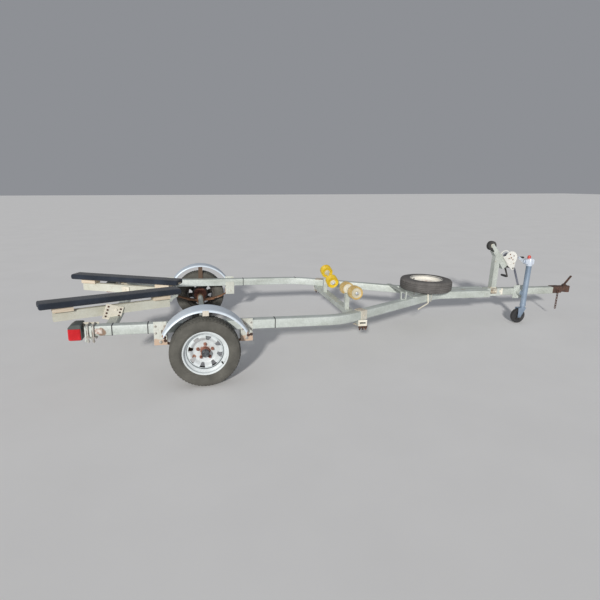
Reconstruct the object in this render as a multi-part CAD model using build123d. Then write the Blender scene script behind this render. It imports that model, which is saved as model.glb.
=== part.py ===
from build123d import *
from math import atan2, cos, degrees, hypot, pi, radians, sin, tan
import os

# Boat trailer, in millimetres, on its two wheels and its tongue jack.
# It is drawn level, X forward, Y to its left, Z up, with X = 0 and Z = 0 on the ground
# under the axle. At the end everything leans nose down about the axle, as the trailer
# stands on its jack, and moves along X until the origin is under its middle.
NOSE_DROP = 1.65
SIDES = (("right", -1), ("left", 1))
FIT = 0.3
BOLT_R = 6.0
HEAD_R = 10.0
HEAD_T = 8.0

# Side rails: box tubes, straight at the rear, bent inward to the tongue
RAIL_W = 76.0
RAIL_H = 76.0
RAIL_WALL = 3.0
RAIL_TOP = 470.0
RAIL_Y = 800.0
RAIL_REAR_X = -860.0
RAIL_BEND_X = 1130.0
RAIL_NECK_X = 2440.0
RAIL_FRONT_X = 3090.0
RAIL_BEND_R = 500.0
RAIL_NECK_R = 300.0

# Tongue and cross members
TONGUE_W = 76.0
TONGUE_H = 76.0
TONGUE_WALL = 4.0
TONGUE_REAR_X = 2540.0
TONGUE_FRONT_X = 4060.0
REAR_CROSS_X = -717.0
REAR_CROSS_W = 76.0
REAR_CROSS_H = 51.0
REAR_CROSS_TOP = 420.0
MID_CROSS_X = 1360.0
MID_CROSS_W = 76.0
MID_CROSS_H = 51.0
MID_CROSS_OVERHANG = 22.0
CROSS_WALL = 3.0
NECK_PLATE_L = 66.0

# Wheels and hubs, on the fixed spindles
WHEEL_Y = 935.0
TYRE_R = 270.0
TYRE_W = 168.0
TYRE_WALL = 11.0
RIM_FLANGE_R = 182.5
RIM_SEAT_R = 165.0
RIM_WELL_R = 143.0
RIM_HALF_W = 72.0
RIM_SHEET = 4.0
DISC_FACE_R = 88.0
DISC_RIDGE_R = 118.0
DISC_RIDGE_OUT = 26.0
DISC_SHEET = 5.0
WINDOWS = 8
WINDOW_R = 109.7
WINDOW_SIZE = 20.0
WINDOW_TURN = 10.5
LUGS = 5
LUG_CIRCLE_R = 57.15
LUG_NUT_R = 11.0
LUG_NUT_OUT = 20.0
SPINDLE_R = 17.0
SPINDLE_GAP = 0.06
HUB_BARREL_R = 34.0
HUB_FLANGE_R = 72.0
HUB_FLANGE_T = 10.0
HUB_IN = 58.0
HUB_OUT = 42.0
CAP_R = 30.0
CAP_OUT = 82.0
AXLE_R = 25.5
AXLE_END_Y = 858.0

# Leaf springs under the rails, hung below the axle
SPRING_HALF = 330.0
SPRING_EYE_Z = 325.0
SPRING_W = 44.5
LEAF_T = 6.4
PAD_T = 6.0
EYE_R = 16.0
EYE_BOLT_R = 7.0
LEAF_SPANS = (1.0, 0.72, 0.44)
HANGER_W = 96.0
HANGER_T = 5.0
HANGER_TOP = 487.0
HANGER_FOOT = 300.0
INNER_HANGER_TOP = 440.0
TIE_PLATE_T = 8.0
U_BOLT_R = 5.0

# Fenders
FENDER_R = 360.0
FENDER_Z = 257.0
FENDER_X = 7.0
FENDER_SHEET = 2.0
FENDER_IN_Y = 846.0
FENDER_OUT_Y = 1030.0
FENDER_SKIRT = 20.0
FENDER_FROM = 28.0
STRAP_W = 46.0
STRAP_T = 5.0
STRAP_FOOT = 400.0
TAB_T = 5.0
TAB_W = 40.0
TAB_REACH = 70.0
TAB_DROP = 30.0
TAB_LIP = 8.0
ARM_DROP = 3.0
ARM_TAB = 42.0

# Bunks: carpeted planks on blocks and a beam that rocks in its plates
BUNK_REAR = (-1235.0, 590.0)
BUNK_FRONT = (-200.0, 165.0)
BOARD_W = 146.0
BOARD_T = 50.0
BOARD_Z = 550.0
BLOCK_T = 38.0
BLOCK_L = 145.0
BLOCK_W = 89.0
BEAM_W = 45.0
BEAM_H = 76.0
BEAM_WALL = 4.0
BEAM_INSET = 98.0
BUNK_PIN_R = 8.0
BUNK_PIN_GAP = 0.06
BUNK_PLATE_W = 142.0
BUNK_PLATE_H = 128.0
BUNK_PLATE_Z = 443.0
BUNK_PLATE_T = 6.0
BUNK_PLATE_GAP = 5.0
BUNK_PLATE_LEAN = 20.0
BUNK_PLATE_BACK = 26.0
BUNK_PLATE_HOLE_R = 5.0

# Bow rollers: a pair on each rocking axle, side, rest tilt in degrees
ROLLER_PAIRS = (("right", -1, 3.0), ("left", 1, 17.0))
ROLLER_X = 1376.0
ROLLER_Y = 355.0
ROLLER_Z = 574.0
ROLLER_R = 63.0
ROLLER_W = 84.0
ROLLER_BORE_R = 9.06
ROLLER_SPREAD = 115.0
ROLLER_AXLE_R = 9.0
ROCKER_DROP = 44.0
ROCKER_R = 17.0
ROCKER_PIN_R = 9.0
ROCKER_PIN_GAP = 0.06
ROCKER_L = 34.0
STAND_W = 40.0
STAND_X = 1338.0

# Spare wheel, flat on the neck of the frame
SPARE_X = 2360.0
SPARE_R = 272.0
SPARE_W = 124.0
SPARE_FLANGE_R = 171.0
SPARE_SEAT_R = 153.0
SPARE_WELL_R = 134.0
SPARE_HALF_W = 58.0
SPARE_Z = 541.0
SPARE_BOLT_R = 7.0
CARRIER_T = 8.0
CARRIER_W = 50.0
CARRIER_REAR_X = 2078.0
STUD_OUT = 24.0

# Winch post, arm with the bow roller, winch and strap
POST_X = 3190.0
POST_W = 60.0
POST_WALL = 3.5
POST_CLAMP_L = 180.0
POST_CLAMP_T = 6.0
POST_CLAMP_DROP = 78.0
ARM_FOOT = (3290.0, 720.0)
ARM_ANGLE = 128.0
ARM_W = 60.0
ARM_T = 60.0
ARM_WALL = 4.0
ARM_FROM = -14.0
ARM_TO = 228.0
BOW_ALONG = 291.0
BOW_R = 51.0
BOW_W = 48.0
BOW_PIN_R = 8.0
BOW_PIN_GAP = 0.06
EAR_T = 5.0
EAR_OVERLAP = 90.0
WINCH_X = 3343.0
WINCH_Z = 821.0
WINCH_R = 70.0
WINCH_HALF_W = 48.0
WINCH_SHEET = 4.0
WINCH_BASE = (-10.0, 150.0)
DRUM_CORE_R = 20.0
DRUM_WRAP_R = 46.0
DRUM_FLANGE_R = 60.0
WINCH_SHAFT_R = 8.0
WINCH_GAP = 0.06
CRANK_X = 3384.0
CRANK_Z = 704.0
CRANK_OUT = 34.0
CRANK_L = 132.0
CRANK_ANGLE = 294.0
CRANK_T = 6.0
CRANK_W = 22.0
GRIP_R = 14.0
GRIP_L = 105.0
STRAP_WEB_W = 46.0
STRAP_WEB_T = 2.5
STRAP_HOOK_X = 3532.0
HOOK_R = 7.0
ANCHOR_L = 60.0
ANCHOR_W = 28.0
ANCHOR_H = 18.0

# Tongue jack on the right side of the tongue
JACK_X = 3508.0
JACK_Y = -145.0
JACK_PIVOT_Z = 432.0
JACK_TUBE_R = 28.5
JACK_TUBE_WALL = 3.0
JACK_TUBE_TOP = 760.0
JACK_TUBE_FOOT = 292.0
JACK_LEG_R = 25.0
JACK_LEG_WALL = 3.5
JACK_LEG_SPARE = 12.0
JACK_WHEEL_R = 82.0
JACK_WHEEL_W = 42.0
JACK_TRAIL = 48.0
JACK_AXLE_R = 8.0
JACK_GAP = 0.06
FORK_T = 4.0
FORK_GAP = 5.0
STEM_R = 10.0
HEAD_BODY_R = 33.0
HEAD_H = 72.0
JACK_CRANK_OUT = 74.0
JACK_CRANK_REACH = 79.0
JACK_CRANK_RISE = 30.0
JACK_GRIP_L = 60.0
JACK_GRIP_R = 11.0
KNOB_R = 18.0
KNOB_H = 30.0
KNOB_BACK = 14.0
SWING_BOSS_R = 32.0
SWING_PIN_R = 12.0
BRACKET_T = 8.0
BRACKET_L = 130.0
BRACKET_H = 150.0

# Coupler, latch and safety chain
COUPLER_REAR_X = 3985.0
COUPLER_SLEEVE_X = 4100.0
NOSE_X = 4190.0
NOSE_R = 44.0
COUPLER_T = 5.0
COUPLER_FOOT = 402.0
SOCKET_R = 25.7
SOCKET_DEPTH = 44.0
LATCH_X = 4165.0
LATCH_W = 26.0
LATCH_T = 7.0
LATCH_L = 128.0
LATCH_RISE = 52.0
CHAIN_X = 4040.0
CHAIN_WIRE_R = 3.6
CHAIN_PITCH = 30.9
CHAIN_LINK_W = 17.0
CHAIN_LINKS = 7
CHAIN_BOLT_R = 4.0
CHAIN_BOLT_L = 24.0

# Lamps at the rear ends of the rails
LAMP_X = -978.0
LAMP_L = 90.0
LAMP_W = 128.0
LAMP_FOOT = 362.0
LAMP_TOP = 456.0
LAMP_HOOD_TOP = 486.0
LAMP_HOOD_T = 4.0
LAMP_ARM_END = 90.0
MARKER_X = -765.0
MARKER_L = 56.0
MARKER_H = 46.0
MARKER_T = 6.0

# Worked out from the sizes above
RAIL_FOOT = RAIL_TOP - RAIL_H
RAIL_MID_Z = RAIL_TOP - RAIL_H / 2
RAIL_OUT_Y = RAIL_Y + RAIL_W / 2
RAIL_IN_Y = RAIL_Y - RAIL_W / 2
PLATE_Y = RAIL_OUT_Y + FIT
NECK_Y = (TONGUE_W + RAIL_W) / 2
RAIL_SLOPE = (RAIL_Y - NECK_Y) / (RAIL_NECK_X - RAIL_BEND_X)
RAIL_TURN = degrees(atan2(RAIL_Y - NECK_Y, RAIL_NECK_X - RAIL_BEND_X))
TONGUE_FOOT = RAIL_TOP - TONGUE_H
TONGUE_MID_Z = RAIL_TOP - TONGUE_H / 2
CHAIN_TOP_Z = TONGUE_MID_Z
AXLE_Z = TYRE_R
BUNK_L = hypot(BUNK_FRONT[0] - BUNK_REAR[0], BUNK_REAR[1] - BUNK_FRONT[1])
BUNK_MID = ((BUNK_REAR[0] + BUNK_FRONT[0]) / 2, (BUNK_REAR[1] + BUNK_FRONT[1]) / 2)
BUNK_TURN = degrees(atan2(BUNK_FRONT[1] - BUNK_REAR[1], BUNK_FRONT[0] - BUNK_REAR[0]))
BEAM_TOP = BOARD_Z - BLOCK_T
BEAM_MID_Z = BEAM_TOP - BEAM_H / 2
JACK_WHEEL_X = JACK_X - JACK_TRAIL
DROP = radians(NOSE_DROP)
JACK_WHEEL_Z = AXLE_Z + (JACK_WHEEL_R - AXLE_Z + JACK_WHEEL_X * sin(DROP)) / cos(DROP)

nodes = {}


def block(x, y, z):
    """Box from low and high pairs."""
    size = Box(x[1] - x[0], y[1] - y[0], z[1] - z[0])
    return Pos((x[0] + x[1]) / 2, (y[0] + y[1]) / 2, (z[0] + z[1]) / 2) * size


def tube(x, y, z, wall, along):
    """Box tube from low and high pairs, open at both ends along one axis."""
    inner = []
    for name, (low, high) in zip("XYZ", (x, y, z)):
        inner.append((low, high) if name == along else (low + wall, high - wall))
    return block(x, y, z) - block(*inner)


def rod(start, end, radius, bore=0.0):
    """Round bar or pipe between two points."""
    axis = Vector(*end) - Vector(*start)
    plane = Plane(origin=start, z_dir=axis)
    face = Circle(radius) - Circle(bore) if bore else Circle(radius)
    return extrude(plane * face, axis.length)


def plate(points, y_low, y_high):
    """Flat plate with an outline of X, Z points, between two Y values."""
    face = Plane.XZ * make_face(Polyline(*points, close=True))
    return Pos(0, y_high, 0) * extrude(face, y_high - y_low)


def ring(x, z, r_out, r_in, y_low, y_high, start, stop):
    """Part of a ring about a Y axis, from one angle to another above +X."""
    arc_out = CenterArc((x, z), r_out, start, stop - start)
    arc_in = CenterArc((x, z), r_in, start, stop - start)
    ends = [Line(arc_out @ 0, arc_in @ 0), Line(arc_out @ 1, arc_in @ 1)]
    face = Plane.XZ * make_face([arc_out, arc_in] + ends)
    return Pos(0, y_high, 0) * extrude(face, y_high - y_low)


def right(shape):
    return mirror(shape, about=Plane.XZ)


def bolt_head(x, y, z, sign, radius=HEAD_R, thick=HEAD_T):
    """Hexagon head standing on a side face, pointing away from the middle."""
    plane = Plane(origin=(x, y, z), z_dir=(0, sign, 0))
    return extrude(plane * RegularPolygon(radius, 6), thick)


def rail_y(x):
    """Middle of the left rail at a place along the trailer."""
    if x <= RAIL_BEND_X:
        return RAIL_Y
    return max(NECK_Y, RAIL_Y - RAIL_SLOPE * (x - RAIL_BEND_X))


def spin(profile, x, y, z, axis):
    """Turn a closed profile of radius, offset pairs round an axis through a point."""
    plane = Plane(origin=(x, y, z), x_dir=(1, 0, 0), z_dir=Vector(1, 0, 0).cross(Vector(*axis)))
    return revolve(plane * profile, Axis((x, y, z), axis))


def rail_outline(offset, stretch=0.0):
    """One long edge of the left rail in plan, offset outward from its middle line."""
    shift = offset * tan(radians(RAIL_TURN) / 2)
    corners = [
        (RAIL_REAR_X - stretch, RAIL_Y + offset), (RAIL_BEND_X + shift, RAIL_Y + offset),
        (RAIL_NECK_X + shift, NECK_Y + offset), (RAIL_FRONT_X + stretch, NECK_Y + offset),
    ]
    return FilletPolyline(*corners, radius=[RAIL_BEND_R + offset, RAIL_NECK_R - offset])


def rail_solid(half_w, low, high, stretch=0.0):
    outer = rail_outline(half_w, stretch)
    inner = rail_outline(-half_w, stretch)
    ends = [Line(outer @ 0, inner @ 0), Line(outer @ 1, inner @ 1)]
    return Pos(0, 0, low) * extrude(make_face([outer, inner] + ends), high - low)


def build_rails():
    left = rail_solid(RAIL_W / 2, RAIL_FOOT, RAIL_TOP)
    left -= rail_solid(RAIL_W / 2 - RAIL_WALL, RAIL_FOOT + RAIL_WALL, RAIL_TOP - RAIL_WALL, RAIL_W)
    nodes["rail_left"] = left
    nodes["rail_right"] = right(left)


def build_cross_members():
    half = TONGUE_W / 2
    tongue_z = (TONGUE_FOOT, RAIL_TOP)
    tongue = tube((TONGUE_REAR_X, TONGUE_FRONT_X), (-half, half), tongue_z, TONGUE_WALL, "X")
    anchor_x = (STRAP_HOOK_X - ANCHOR_L / 2, STRAP_HOOK_X + ANCHOR_L / 2)
    tongue += block(anchor_x, (-ANCHOR_W / 2, ANCHOR_W / 2), (RAIL_TOP, RAIL_TOP + ANCHOR_H))
    nodes["tongue_tube"] = tongue
    x = (REAR_CROSS_X - REAR_CROSS_W / 2, REAR_CROSS_X + REAR_CROSS_W / 2)
    z = (REAR_CROSS_TOP - REAR_CROSS_H, REAR_CROSS_TOP)
    nodes["rear_cross_member"] = tube(x, (-RAIL_IN_Y, RAIL_IN_Y), z, CROSS_WALL, "Y")
    x = (MID_CROSS_X - MID_CROSS_W / 2, MID_CROSS_X + MID_CROSS_W / 2)
    z = (RAIL_FOOT - MID_CROSS_H, RAIL_FOOT)
    reach = rail_y(MID_CROSS_X) + RAIL_W / 2 + MID_CROSS_OVERHANG
    nodes["mid_cross_member"] = tube(x, (-reach, reach), z, CROSS_WALL, "Y")


def build_axle():
    beam = rod((0, -AXLE_END_Y, AXLE_Z), (0, AXLE_END_Y, AXLE_Z), AXLE_R)
    tip = WHEEL_Y + HUB_OUT
    beam += rod((0, -tip, AXLE_Z), (0, tip, AXLE_Z), SPINDLE_R)
    nodes["axle_beam"] = beam
    pack_top = AXLE_Z - AXLE_R - PAD_T
    sag = SPRING_EYE_Z - pack_top + LEAF_T / 2
    radius = (SPRING_HALF ** 2 + sag ** 2) / (2 * sag)
    middle_z = pack_top + radius - LEAF_T / 2
    sweep_half = degrees(atan2(SPRING_HALF, middle_z - SPRING_EYE_Z))
    y = (RAIL_Y - SPRING_W / 2, RAIL_Y + SPRING_W / 2)
    spring = block((-SPRING_W, SPRING_W), y, (pack_top, pack_top + PAD_T))
    for count, share in enumerate(LEAF_SPANS):
        r_in = radius - LEAF_T / 2 + count * LEAF_T
        reach = sweep_half * share
        spring += ring(0, middle_z, r_in + LEAF_T, r_in, *y, 270 - reach, 270 + reach)
    for end in (-1, 1):
        centre = (end * SPRING_HALF, SPRING_EYE_Z)
        spring -= rod((centre[0], y[0], centre[1]), (centre[0], y[1], centre[1]), EYE_R)
        eye_bore = EYE_BOLT_R + FIT
        spring += rod((centre[0], y[0], centre[1]), (centre[0], y[1], centre[1]), EYE_R, eye_bore)
    nodes["spring_left"] = spring
    nodes["spring_right"] = right(spring)
    pack_foot = pack_top - len(LEAF_SPANS) * LEAF_T - LEAF_T / 2
    leg_x = AXLE_R + U_BOLT_R + FIT
    leg_y = SPRING_W / 2 + U_BOLT_R + FIT
    foot = pack_foot - TIE_PLATE_T
    reach = leg_x + 2 * U_BOLT_R
    tie_y = (RAIL_Y - leg_y - U_BOLT_R * 2, RAIL_Y + leg_y + U_BOLT_R * 2)
    clamp = block((-reach, reach), tie_y, (foot, pack_foot))
    for shift in (-leg_y, leg_y):
        y = RAIL_Y + shift
        start = (-leg_x, y, foot - HEAD_T)
        path = Line(start, (-leg_x, y, AXLE_Z))
        path += ThreePointArc((-leg_x, y, AXLE_Z), (0, y, AXLE_Z + leg_x), (leg_x, y, AXLE_Z))
        path += Line((leg_x, y, AXLE_Z), (leg_x, y, foot - HEAD_T))
        clamp += sweep(Plane(origin=start, z_dir=(0, 0, 1)) * Circle(U_BOLT_R), path=path)
    nodes["axle_clamps"] = [clamp, right(clamp)]


def build_hangers():
    shapes = []
    for end in (-1, 1):
        middle = end * SPRING_HALF
        x = (middle - HANGER_W / 2, middle + HANGER_W / 2)
        hanger = block(x, (PLATE_Y, PLATE_Y + HANGER_T), (HANGER_FOOT, HANGER_TOP))
        hanger += block(x, (RAIL_IN_Y - FIT - HANGER_T, RAIL_IN_Y - FIT), (HANGER_FOOT, INNER_HANGER_TOP))
        bolt_ends = (RAIL_IN_Y - FIT - HANGER_T - HEAD_T, PLATE_Y + HANGER_T + HEAD_T)
        hanger += rod((middle, bolt_ends[0], SPRING_EYE_Z), (middle, bolt_ends[1], SPRING_EYE_Z), EYE_BOLT_R)
        shapes.append(hanger)
    nodes["spring_hangers_left"] = shapes
    nodes["spring_hangers_right"] = [right(shape) for shape in shapes]


def build_wheel(name, sign):
    y = sign * WHEEL_Y
    axis = (0, sign, 0)
    hub_in = (0, y - sign * HUB_IN, AXLE_Z)
    hub_out = (0, y + sign * HUB_OUT, AXLE_Z)
    hub = rod(hub_in, hub_out, HUB_BARREL_R)
    hub += rod((0, y - sign * HUB_FLANGE_T, AXLE_Z), (0, y, AXLE_Z), HUB_FLANGE_R)
    hub += rod(hub_out, (0, y + sign * CAP_OUT, AXLE_Z), CAP_R)
    hub -= rod(hub_in, (0, y + sign * (HUB_OUT + FIT), AXLE_Z), SPINDLE_R + SPINDLE_GAP)
    for count in range(LUGS):
        angle = 2 * pi * count / LUGS + pi / 2
        x, z = LUG_CIRCLE_R * cos(angle), AXLE_Z + LUG_CIRCLE_R * sin(angle)
        plane = Plane(origin=(x, y + sign * DISC_SHEET, z), z_dir=axis)
        hub += extrude(plane * RegularPolygon(LUG_NUT_R, 6), LUG_NUT_OUT)
        hub += rod((x, y, z), (x, y + sign * DISC_SHEET, z), BOLT_R)
    nodes["hub_" + name] = hub
    steps = [
        (RIM_FLANGE_R, RIM_HALF_W), (RIM_FLANGE_R, RIM_HALF_W - 5), (RIM_SEAT_R, RIM_HALF_W - 10),
        (RIM_SEAT_R, RIM_HALF_W - 32), (RIM_WELL_R, RIM_HALF_W - 44), (RIM_WELL_R, 40 - RIM_HALF_W),
        (RIM_SEAT_R, 30 - RIM_HALF_W), (RIM_SEAT_R, 10 - RIM_HALF_W), (RIM_FLANGE_R, 5 - RIM_HALF_W),
        (RIM_FLANGE_R, -RIM_HALF_W),
    ]
    outline = steps + [(r - RIM_SHEET, t) for r, t in reversed(steps)]
    barrel = spin(make_face(Polyline(*outline, close=True)), 0, y, AXLE_Z, axis)
    disc_steps = [
        (HUB_BARREL_R + FIT, 0), (DISC_FACE_R, 0), (DISC_RIDGE_R, DISC_RIDGE_OUT),
        (RIM_WELL_R - RIM_SHEET, DISC_RIDGE_OUT - 12),
    ]
    outline = disc_steps + [(r, t + DISC_SHEET) for r, t in reversed(disc_steps)]
    disc = spin(make_face(Polyline(*outline, close=True)), 0, y, AXLE_Z, axis)
    for count in range(LUGS):
        angle = 2 * pi * count / LUGS + pi / 2
        x, z = LUG_CIRCLE_R * cos(angle), AXLE_Z + LUG_CIRCLE_R * sin(angle)
        disc -= rod((x, y, z), (x, y + sign * DISC_SHEET, z), BOLT_R + FIT)
    for count in range(WINDOWS):
        angle = 2 * pi * (count + 0.5) / WINDOWS + radians(WINDOW_TURN)
        x, z = WINDOW_R * cos(angle), AXLE_Z + WINDOW_R * sin(angle)
        plane = Plane(origin=(x, y - sign * DISC_RIDGE_OUT, z), x_dir=(cos(angle), 0, sin(angle)), z_dir=axis)
        disc -= extrude(plane * RegularPolygon(WINDOW_SIZE, 3, rotation=180), 4 * DISC_RIDGE_OUT)
    nodes["rim_" + name] = barrel + disc
    profile = tyre_face(TYRE_R, TYRE_W, RIM_SEAT_R, RIM_FLANGE_R, RIM_HALF_W)
    nodes["tyre_" + name] = spin(profile, 0, y, AXLE_Z, axis)


def tyre_face(radius, width, seat, flange, rim_half):
    """Profile of a tyre as radius, offset points: hollow inside and open at the rim."""
    bead = rim_half - 12
    bulge = width / 2
    shoulder = bulge - 13
    widest = seat + 0.48 * (radius - seat)
    wall = TYRE_WALL
    grip = (flange + 4, bead + 5)
    roof_r = radius - wall
    upper = [
        Line((seat + FIT, bead), grip),
        ThreePointArc(grip, (widest, bulge), (radius - 12, shoulder)),
        Line((radius - 12, shoulder), (radius - 3, shoulder - 12)),
    ]
    inner = [
        Line((seat + FIT, bead - wall), (grip[0], grip[1] - wall)),
        ThreePointArc((grip[0], grip[1] - wall), (widest, bulge - wall), (roof_r - 9, shoulder - 12)),
        Line((roof_r - 9, shoulder - 12), (roof_r, shoulder - 26)),
    ]
    edges = [Line((seat + FIT, bead), (seat + FIT, bead - wall))]
    edges += upper + inner
    lower = [mirror(edge, about=Plane.XZ) for edge in edges]
    crown = ThreePointArc((radius - 3, shoulder - 12), (radius, 0), (radius - 3, 12 - shoulder))
    roof = Line((roof_r, shoulder - 26), (roof_r, 26 - shoulder))
    return make_face(edges + lower + [crown, roof])


def build_fenders():
    y = (FENDER_IN_Y, FENDER_OUT_Y)
    span = (FENDER_FROM, 180 - FENDER_FROM)
    inner = FENDER_R - FENDER_SHEET
    fender = ring(FENDER_X, FENDER_Z, FENDER_R, inner, *y, *span)
    for low in (y[0], y[1] - FENDER_SHEET):
        skirt = (low, low + FENDER_SHEET)
        fender += ring(FENDER_X, FENDER_Z, FENDER_R, FENDER_R - FENDER_SKIRT, *skirt, *span)
    nodes["fender_left"] = fender
    nodes["fender_right"] = right(fender)
    crown = FENDER_Z + inner - FIT
    x = (FENDER_X - STRAP_W / 2, FENDER_X + STRAP_W / 2)
    strap = block(x, (PLATE_Y, PLATE_Y + STRAP_T), (STRAP_FOOT, RAIL_TOP))
    turn = FENDER_IN_Y + FENDER_SHEET + FIT
    foot = crown - FENDER_SKIRT - STRAP_T - 8
    strap += block(x, (PLATE_Y, PLATE_Y + STRAP_T), (RAIL_TOP, foot + STRAP_T))
    strap += block(x, (PLATE_Y, turn + STRAP_T), (foot, foot + STRAP_T))
    strap += block(x, (turn, turn + STRAP_T), (foot, crown - ARM_DROP))
    arm_end = FENDER_OUT_Y - FENDER_SHEET - FIT
    strap += block(x, (turn, arm_end), (crown - ARM_DROP - STRAP_T, crown - ARM_DROP))
    strap += block(x, (arm_end - STRAP_T, arm_end), (crown - ARM_TAB, crown - ARM_DROP))
    shapes = [strap]
    end_z = FENDER_Z + inner * sin(radians(FENDER_FROM))
    tab_y = PLATE_Y + HANGER_T + FIT
    for end in (-1, 1):
        end_x = FENDER_X + end * inner * cos(radians(FENDER_FROM))
        face = end * (SPRING_HALF - HANGER_W / 2)
        x = sorted((end_x - end * FIT, end_x - end * (FIT + TAB_T)))
        z = (end_z - TAB_DROP, end_z - TAB_T)
        tab = block(x, (tab_y, tab_y + TAB_REACH), z)
        x = sorted((end_x - end * (FIT + TAB_T), face + end * TAB_W))
        tab += block(x, (tab_y, tab_y + TAB_T), z)
        x = sorted((end_x - end * (FIT + TAB_T), end_x - end * (FIT + 2 * TAB_T)))
        tab += block(x, (turn, tab_y + TAB_REACH), (end_z - TAB_DROP, end_z + TAB_LIP))
        shapes.append(tab)
    nodes["fender_brackets_left"] = shapes
    nodes["fender_brackets_right"] = [right(shape) for shape in shapes]


def in_bunk(shape):
    """Place a shape drawn along the left bunk, from its middle."""
    return Pos(BUNK_MID[0], BUNK_MID[1], 0) * Rot(0, 0, BUNK_TURN) * shape


def build_bunks():
    half = BUNK_L / 2
    board = block((-half, half), (-BOARD_W / 2, BOARD_W / 2), (BOARD_Z, BOARD_Z + BOARD_T))
    board = fillet(board.edges().filter_by(Axis.X), BOARD_T * 0.3)
    reach = half - BEAM_INSET
    y = (-BEAM_W / 2, BEAM_W / 2)
    beam = tube((-reach, reach), y, (BEAM_TOP - BEAM_H, BEAM_TOP), BEAM_WALL, "X")
    bore = BUNK_PIN_R + BUNK_PIN_GAP
    beam -= rod((0, y[0], BEAM_MID_Z), (0, y[1], BEAM_MID_Z), bore)
    blocks = []
    for end in (-1, 1):
        x = sorted((end * reach, end * (reach - BLOCK_L)))
        blocks.append(block(x, (-BLOCK_W / 2, BLOCK_W / 2), (BEAM_TOP, BOARD_Z)))
    out = BEAM_W / 2 + BUNK_PLATE_GAP
    x = (-BUNK_PLATE_BACK - BUNK_PLATE_W / 2, BUNK_PLATE_W / 2 - BUNK_PLATE_BACK)
    z = (BUNK_PLATE_Z - BUNK_PLATE_H / 2, BUNK_PLATE_Z + BUNK_PLATE_H / 2)
    lean = Pos(0, 0, BUNK_PLATE_Z) * Rot(0, BUNK_PLATE_LEAN, 0) * Pos(0, 0, -BUNK_PLATE_Z)
    outer = block(x, (out, out + BUNK_PLATE_T), z)
    margin = 4 * BUNK_PLATE_HOLE_R
    for count in range(4):
        row = z[0] + margin + count * (BUNK_PLATE_H - 2 * margin) / 3
        for side in (x[0] + margin, x[1] - margin):
            outer -= rod((side, out, row), (side, out + BUNK_PLATE_T, row), BUNK_PLATE_HOLE_R)
    outer = lean * outer
    low = (-out - BUNK_PLATE_T, -out)
    foot_x = (-REAR_CROSS_W / 2, REAR_CROSS_W / 2)
    plates = outer + block(foot_x, low, (REAR_CROSS_TOP, BEAM_MID_Z + 3 * BUNK_PIN_R))
    plates += block(foot_x, (low[0], out + BUNK_PLATE_T), (REAR_CROSS_TOP, REAR_CROSS_TOP + BUNK_PLATE_T))
    pin_ends = (low[0] - HEAD_T, out + BUNK_PLATE_T + HEAD_T)
    plates += rod((0, pin_ends[0], BEAM_MID_Z), (0, pin_ends[1], BEAM_MID_Z), BUNK_PIN_R)
    notch = block((REAR_CROSS_X - REAR_CROSS_W / 2, REAR_CROSS_X + REAR_CROSS_W / 2), (0, RAIL_IN_Y),
                  (REAR_CROSS_TOP - BUNK_PLATE_H, REAR_CROSS_TOP))
    plates = in_bunk(plates) - notch
    pieces = (("bunk_board", in_bunk(board)), ("bunk_beam", in_bunk(beam)), ("bunk_plates", plates))
    for name, shape in pieces:
        nodes[name + "_left"] = shape
        nodes[name + "_right"] = right(shape)
    nodes["bunk_blocks_left"] = [in_bunk(shape) for shape in blocks]
    nodes["bunk_blocks_right"] = [right(in_bunk(shape)) for shape in blocks]


def build_rollers():
    stands = []
    for name, sign, tilt in ROLLER_PAIRS:
        pivot_z = ROLLER_Z - ROCKER_DROP
        y = sign * ROLLER_Y
        stand = block((STAND_X - STAND_W / 2, STAND_X + STAND_W / 2), (y - STAND_W / 2, y + STAND_W / 2),
                      (RAIL_FOOT, pivot_z + ROCKER_R))
        pin_from = STAND_X + STAND_W / 2
        rocker_from = ROLLER_X - ROCKER_L / 2
        rocker_to = ROLLER_X + ROCKER_L / 2
        stand += rod((pin_from, y, pivot_z), (rocker_to + HEAD_T, y, pivot_z), ROCKER_PIN_R)
        stand += rod((rocker_to + FIT, y, pivot_z), (rocker_to + HEAD_T, y, pivot_z), ROCKER_R)
        stands.append(stand)
        swing = Pos(ROLLER_X, y, pivot_z) * Rot(sign * tilt, 0, 0)
        half = ROCKER_L / 2
        rocker = rod((-half, 0, 0), (half, 0, 0), ROCKER_R)
        rocker += block((-half, half), (-ROCKER_R, ROCKER_R), (0, ROCKER_DROP))
        reach = ROLLER_SPREAD + ROLLER_W / 2 + HEAD_T + 1
        rocker += rod((0, -reach, ROCKER_DROP), (0, reach, ROCKER_DROP), ROLLER_AXLE_R)
        for end in (-1, 1):
            cap_ends = [(0, end * (reach - back), ROCKER_DROP) for back in (HEAD_T, 0)]
            rocker += rod(*cap_ends, HEAD_R * 1.5)
        rocker -= rod((-half, 0, 0), (half, 0, 0), ROCKER_PIN_R + ROCKER_PIN_GAP)
        nodes["roller_rocker_" + name] = swing * rocker
        rollers = []
        for end in (-1, 1):
            middle = end * ROLLER_SPREAD
            y_ends = (middle - ROLLER_W / 2, middle + ROLLER_W / 2)
            roller = rod((0, y_ends[0], ROCKER_DROP), (0, y_ends[1], ROCKER_DROP), ROLLER_R)
            roller = fillet(roller.edges().filter_by(GeomType.CIRCLE), ROLLER_R * 0.25)
            roller -= rod((0, y_ends[0], ROCKER_DROP), (0, y_ends[1], ROCKER_DROP), ROLLER_BORE_R)
            rollers.append(swing * roller)
        nodes["rollers_" + name] = rollers
    nodes["roller_stands"] = stands


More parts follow.
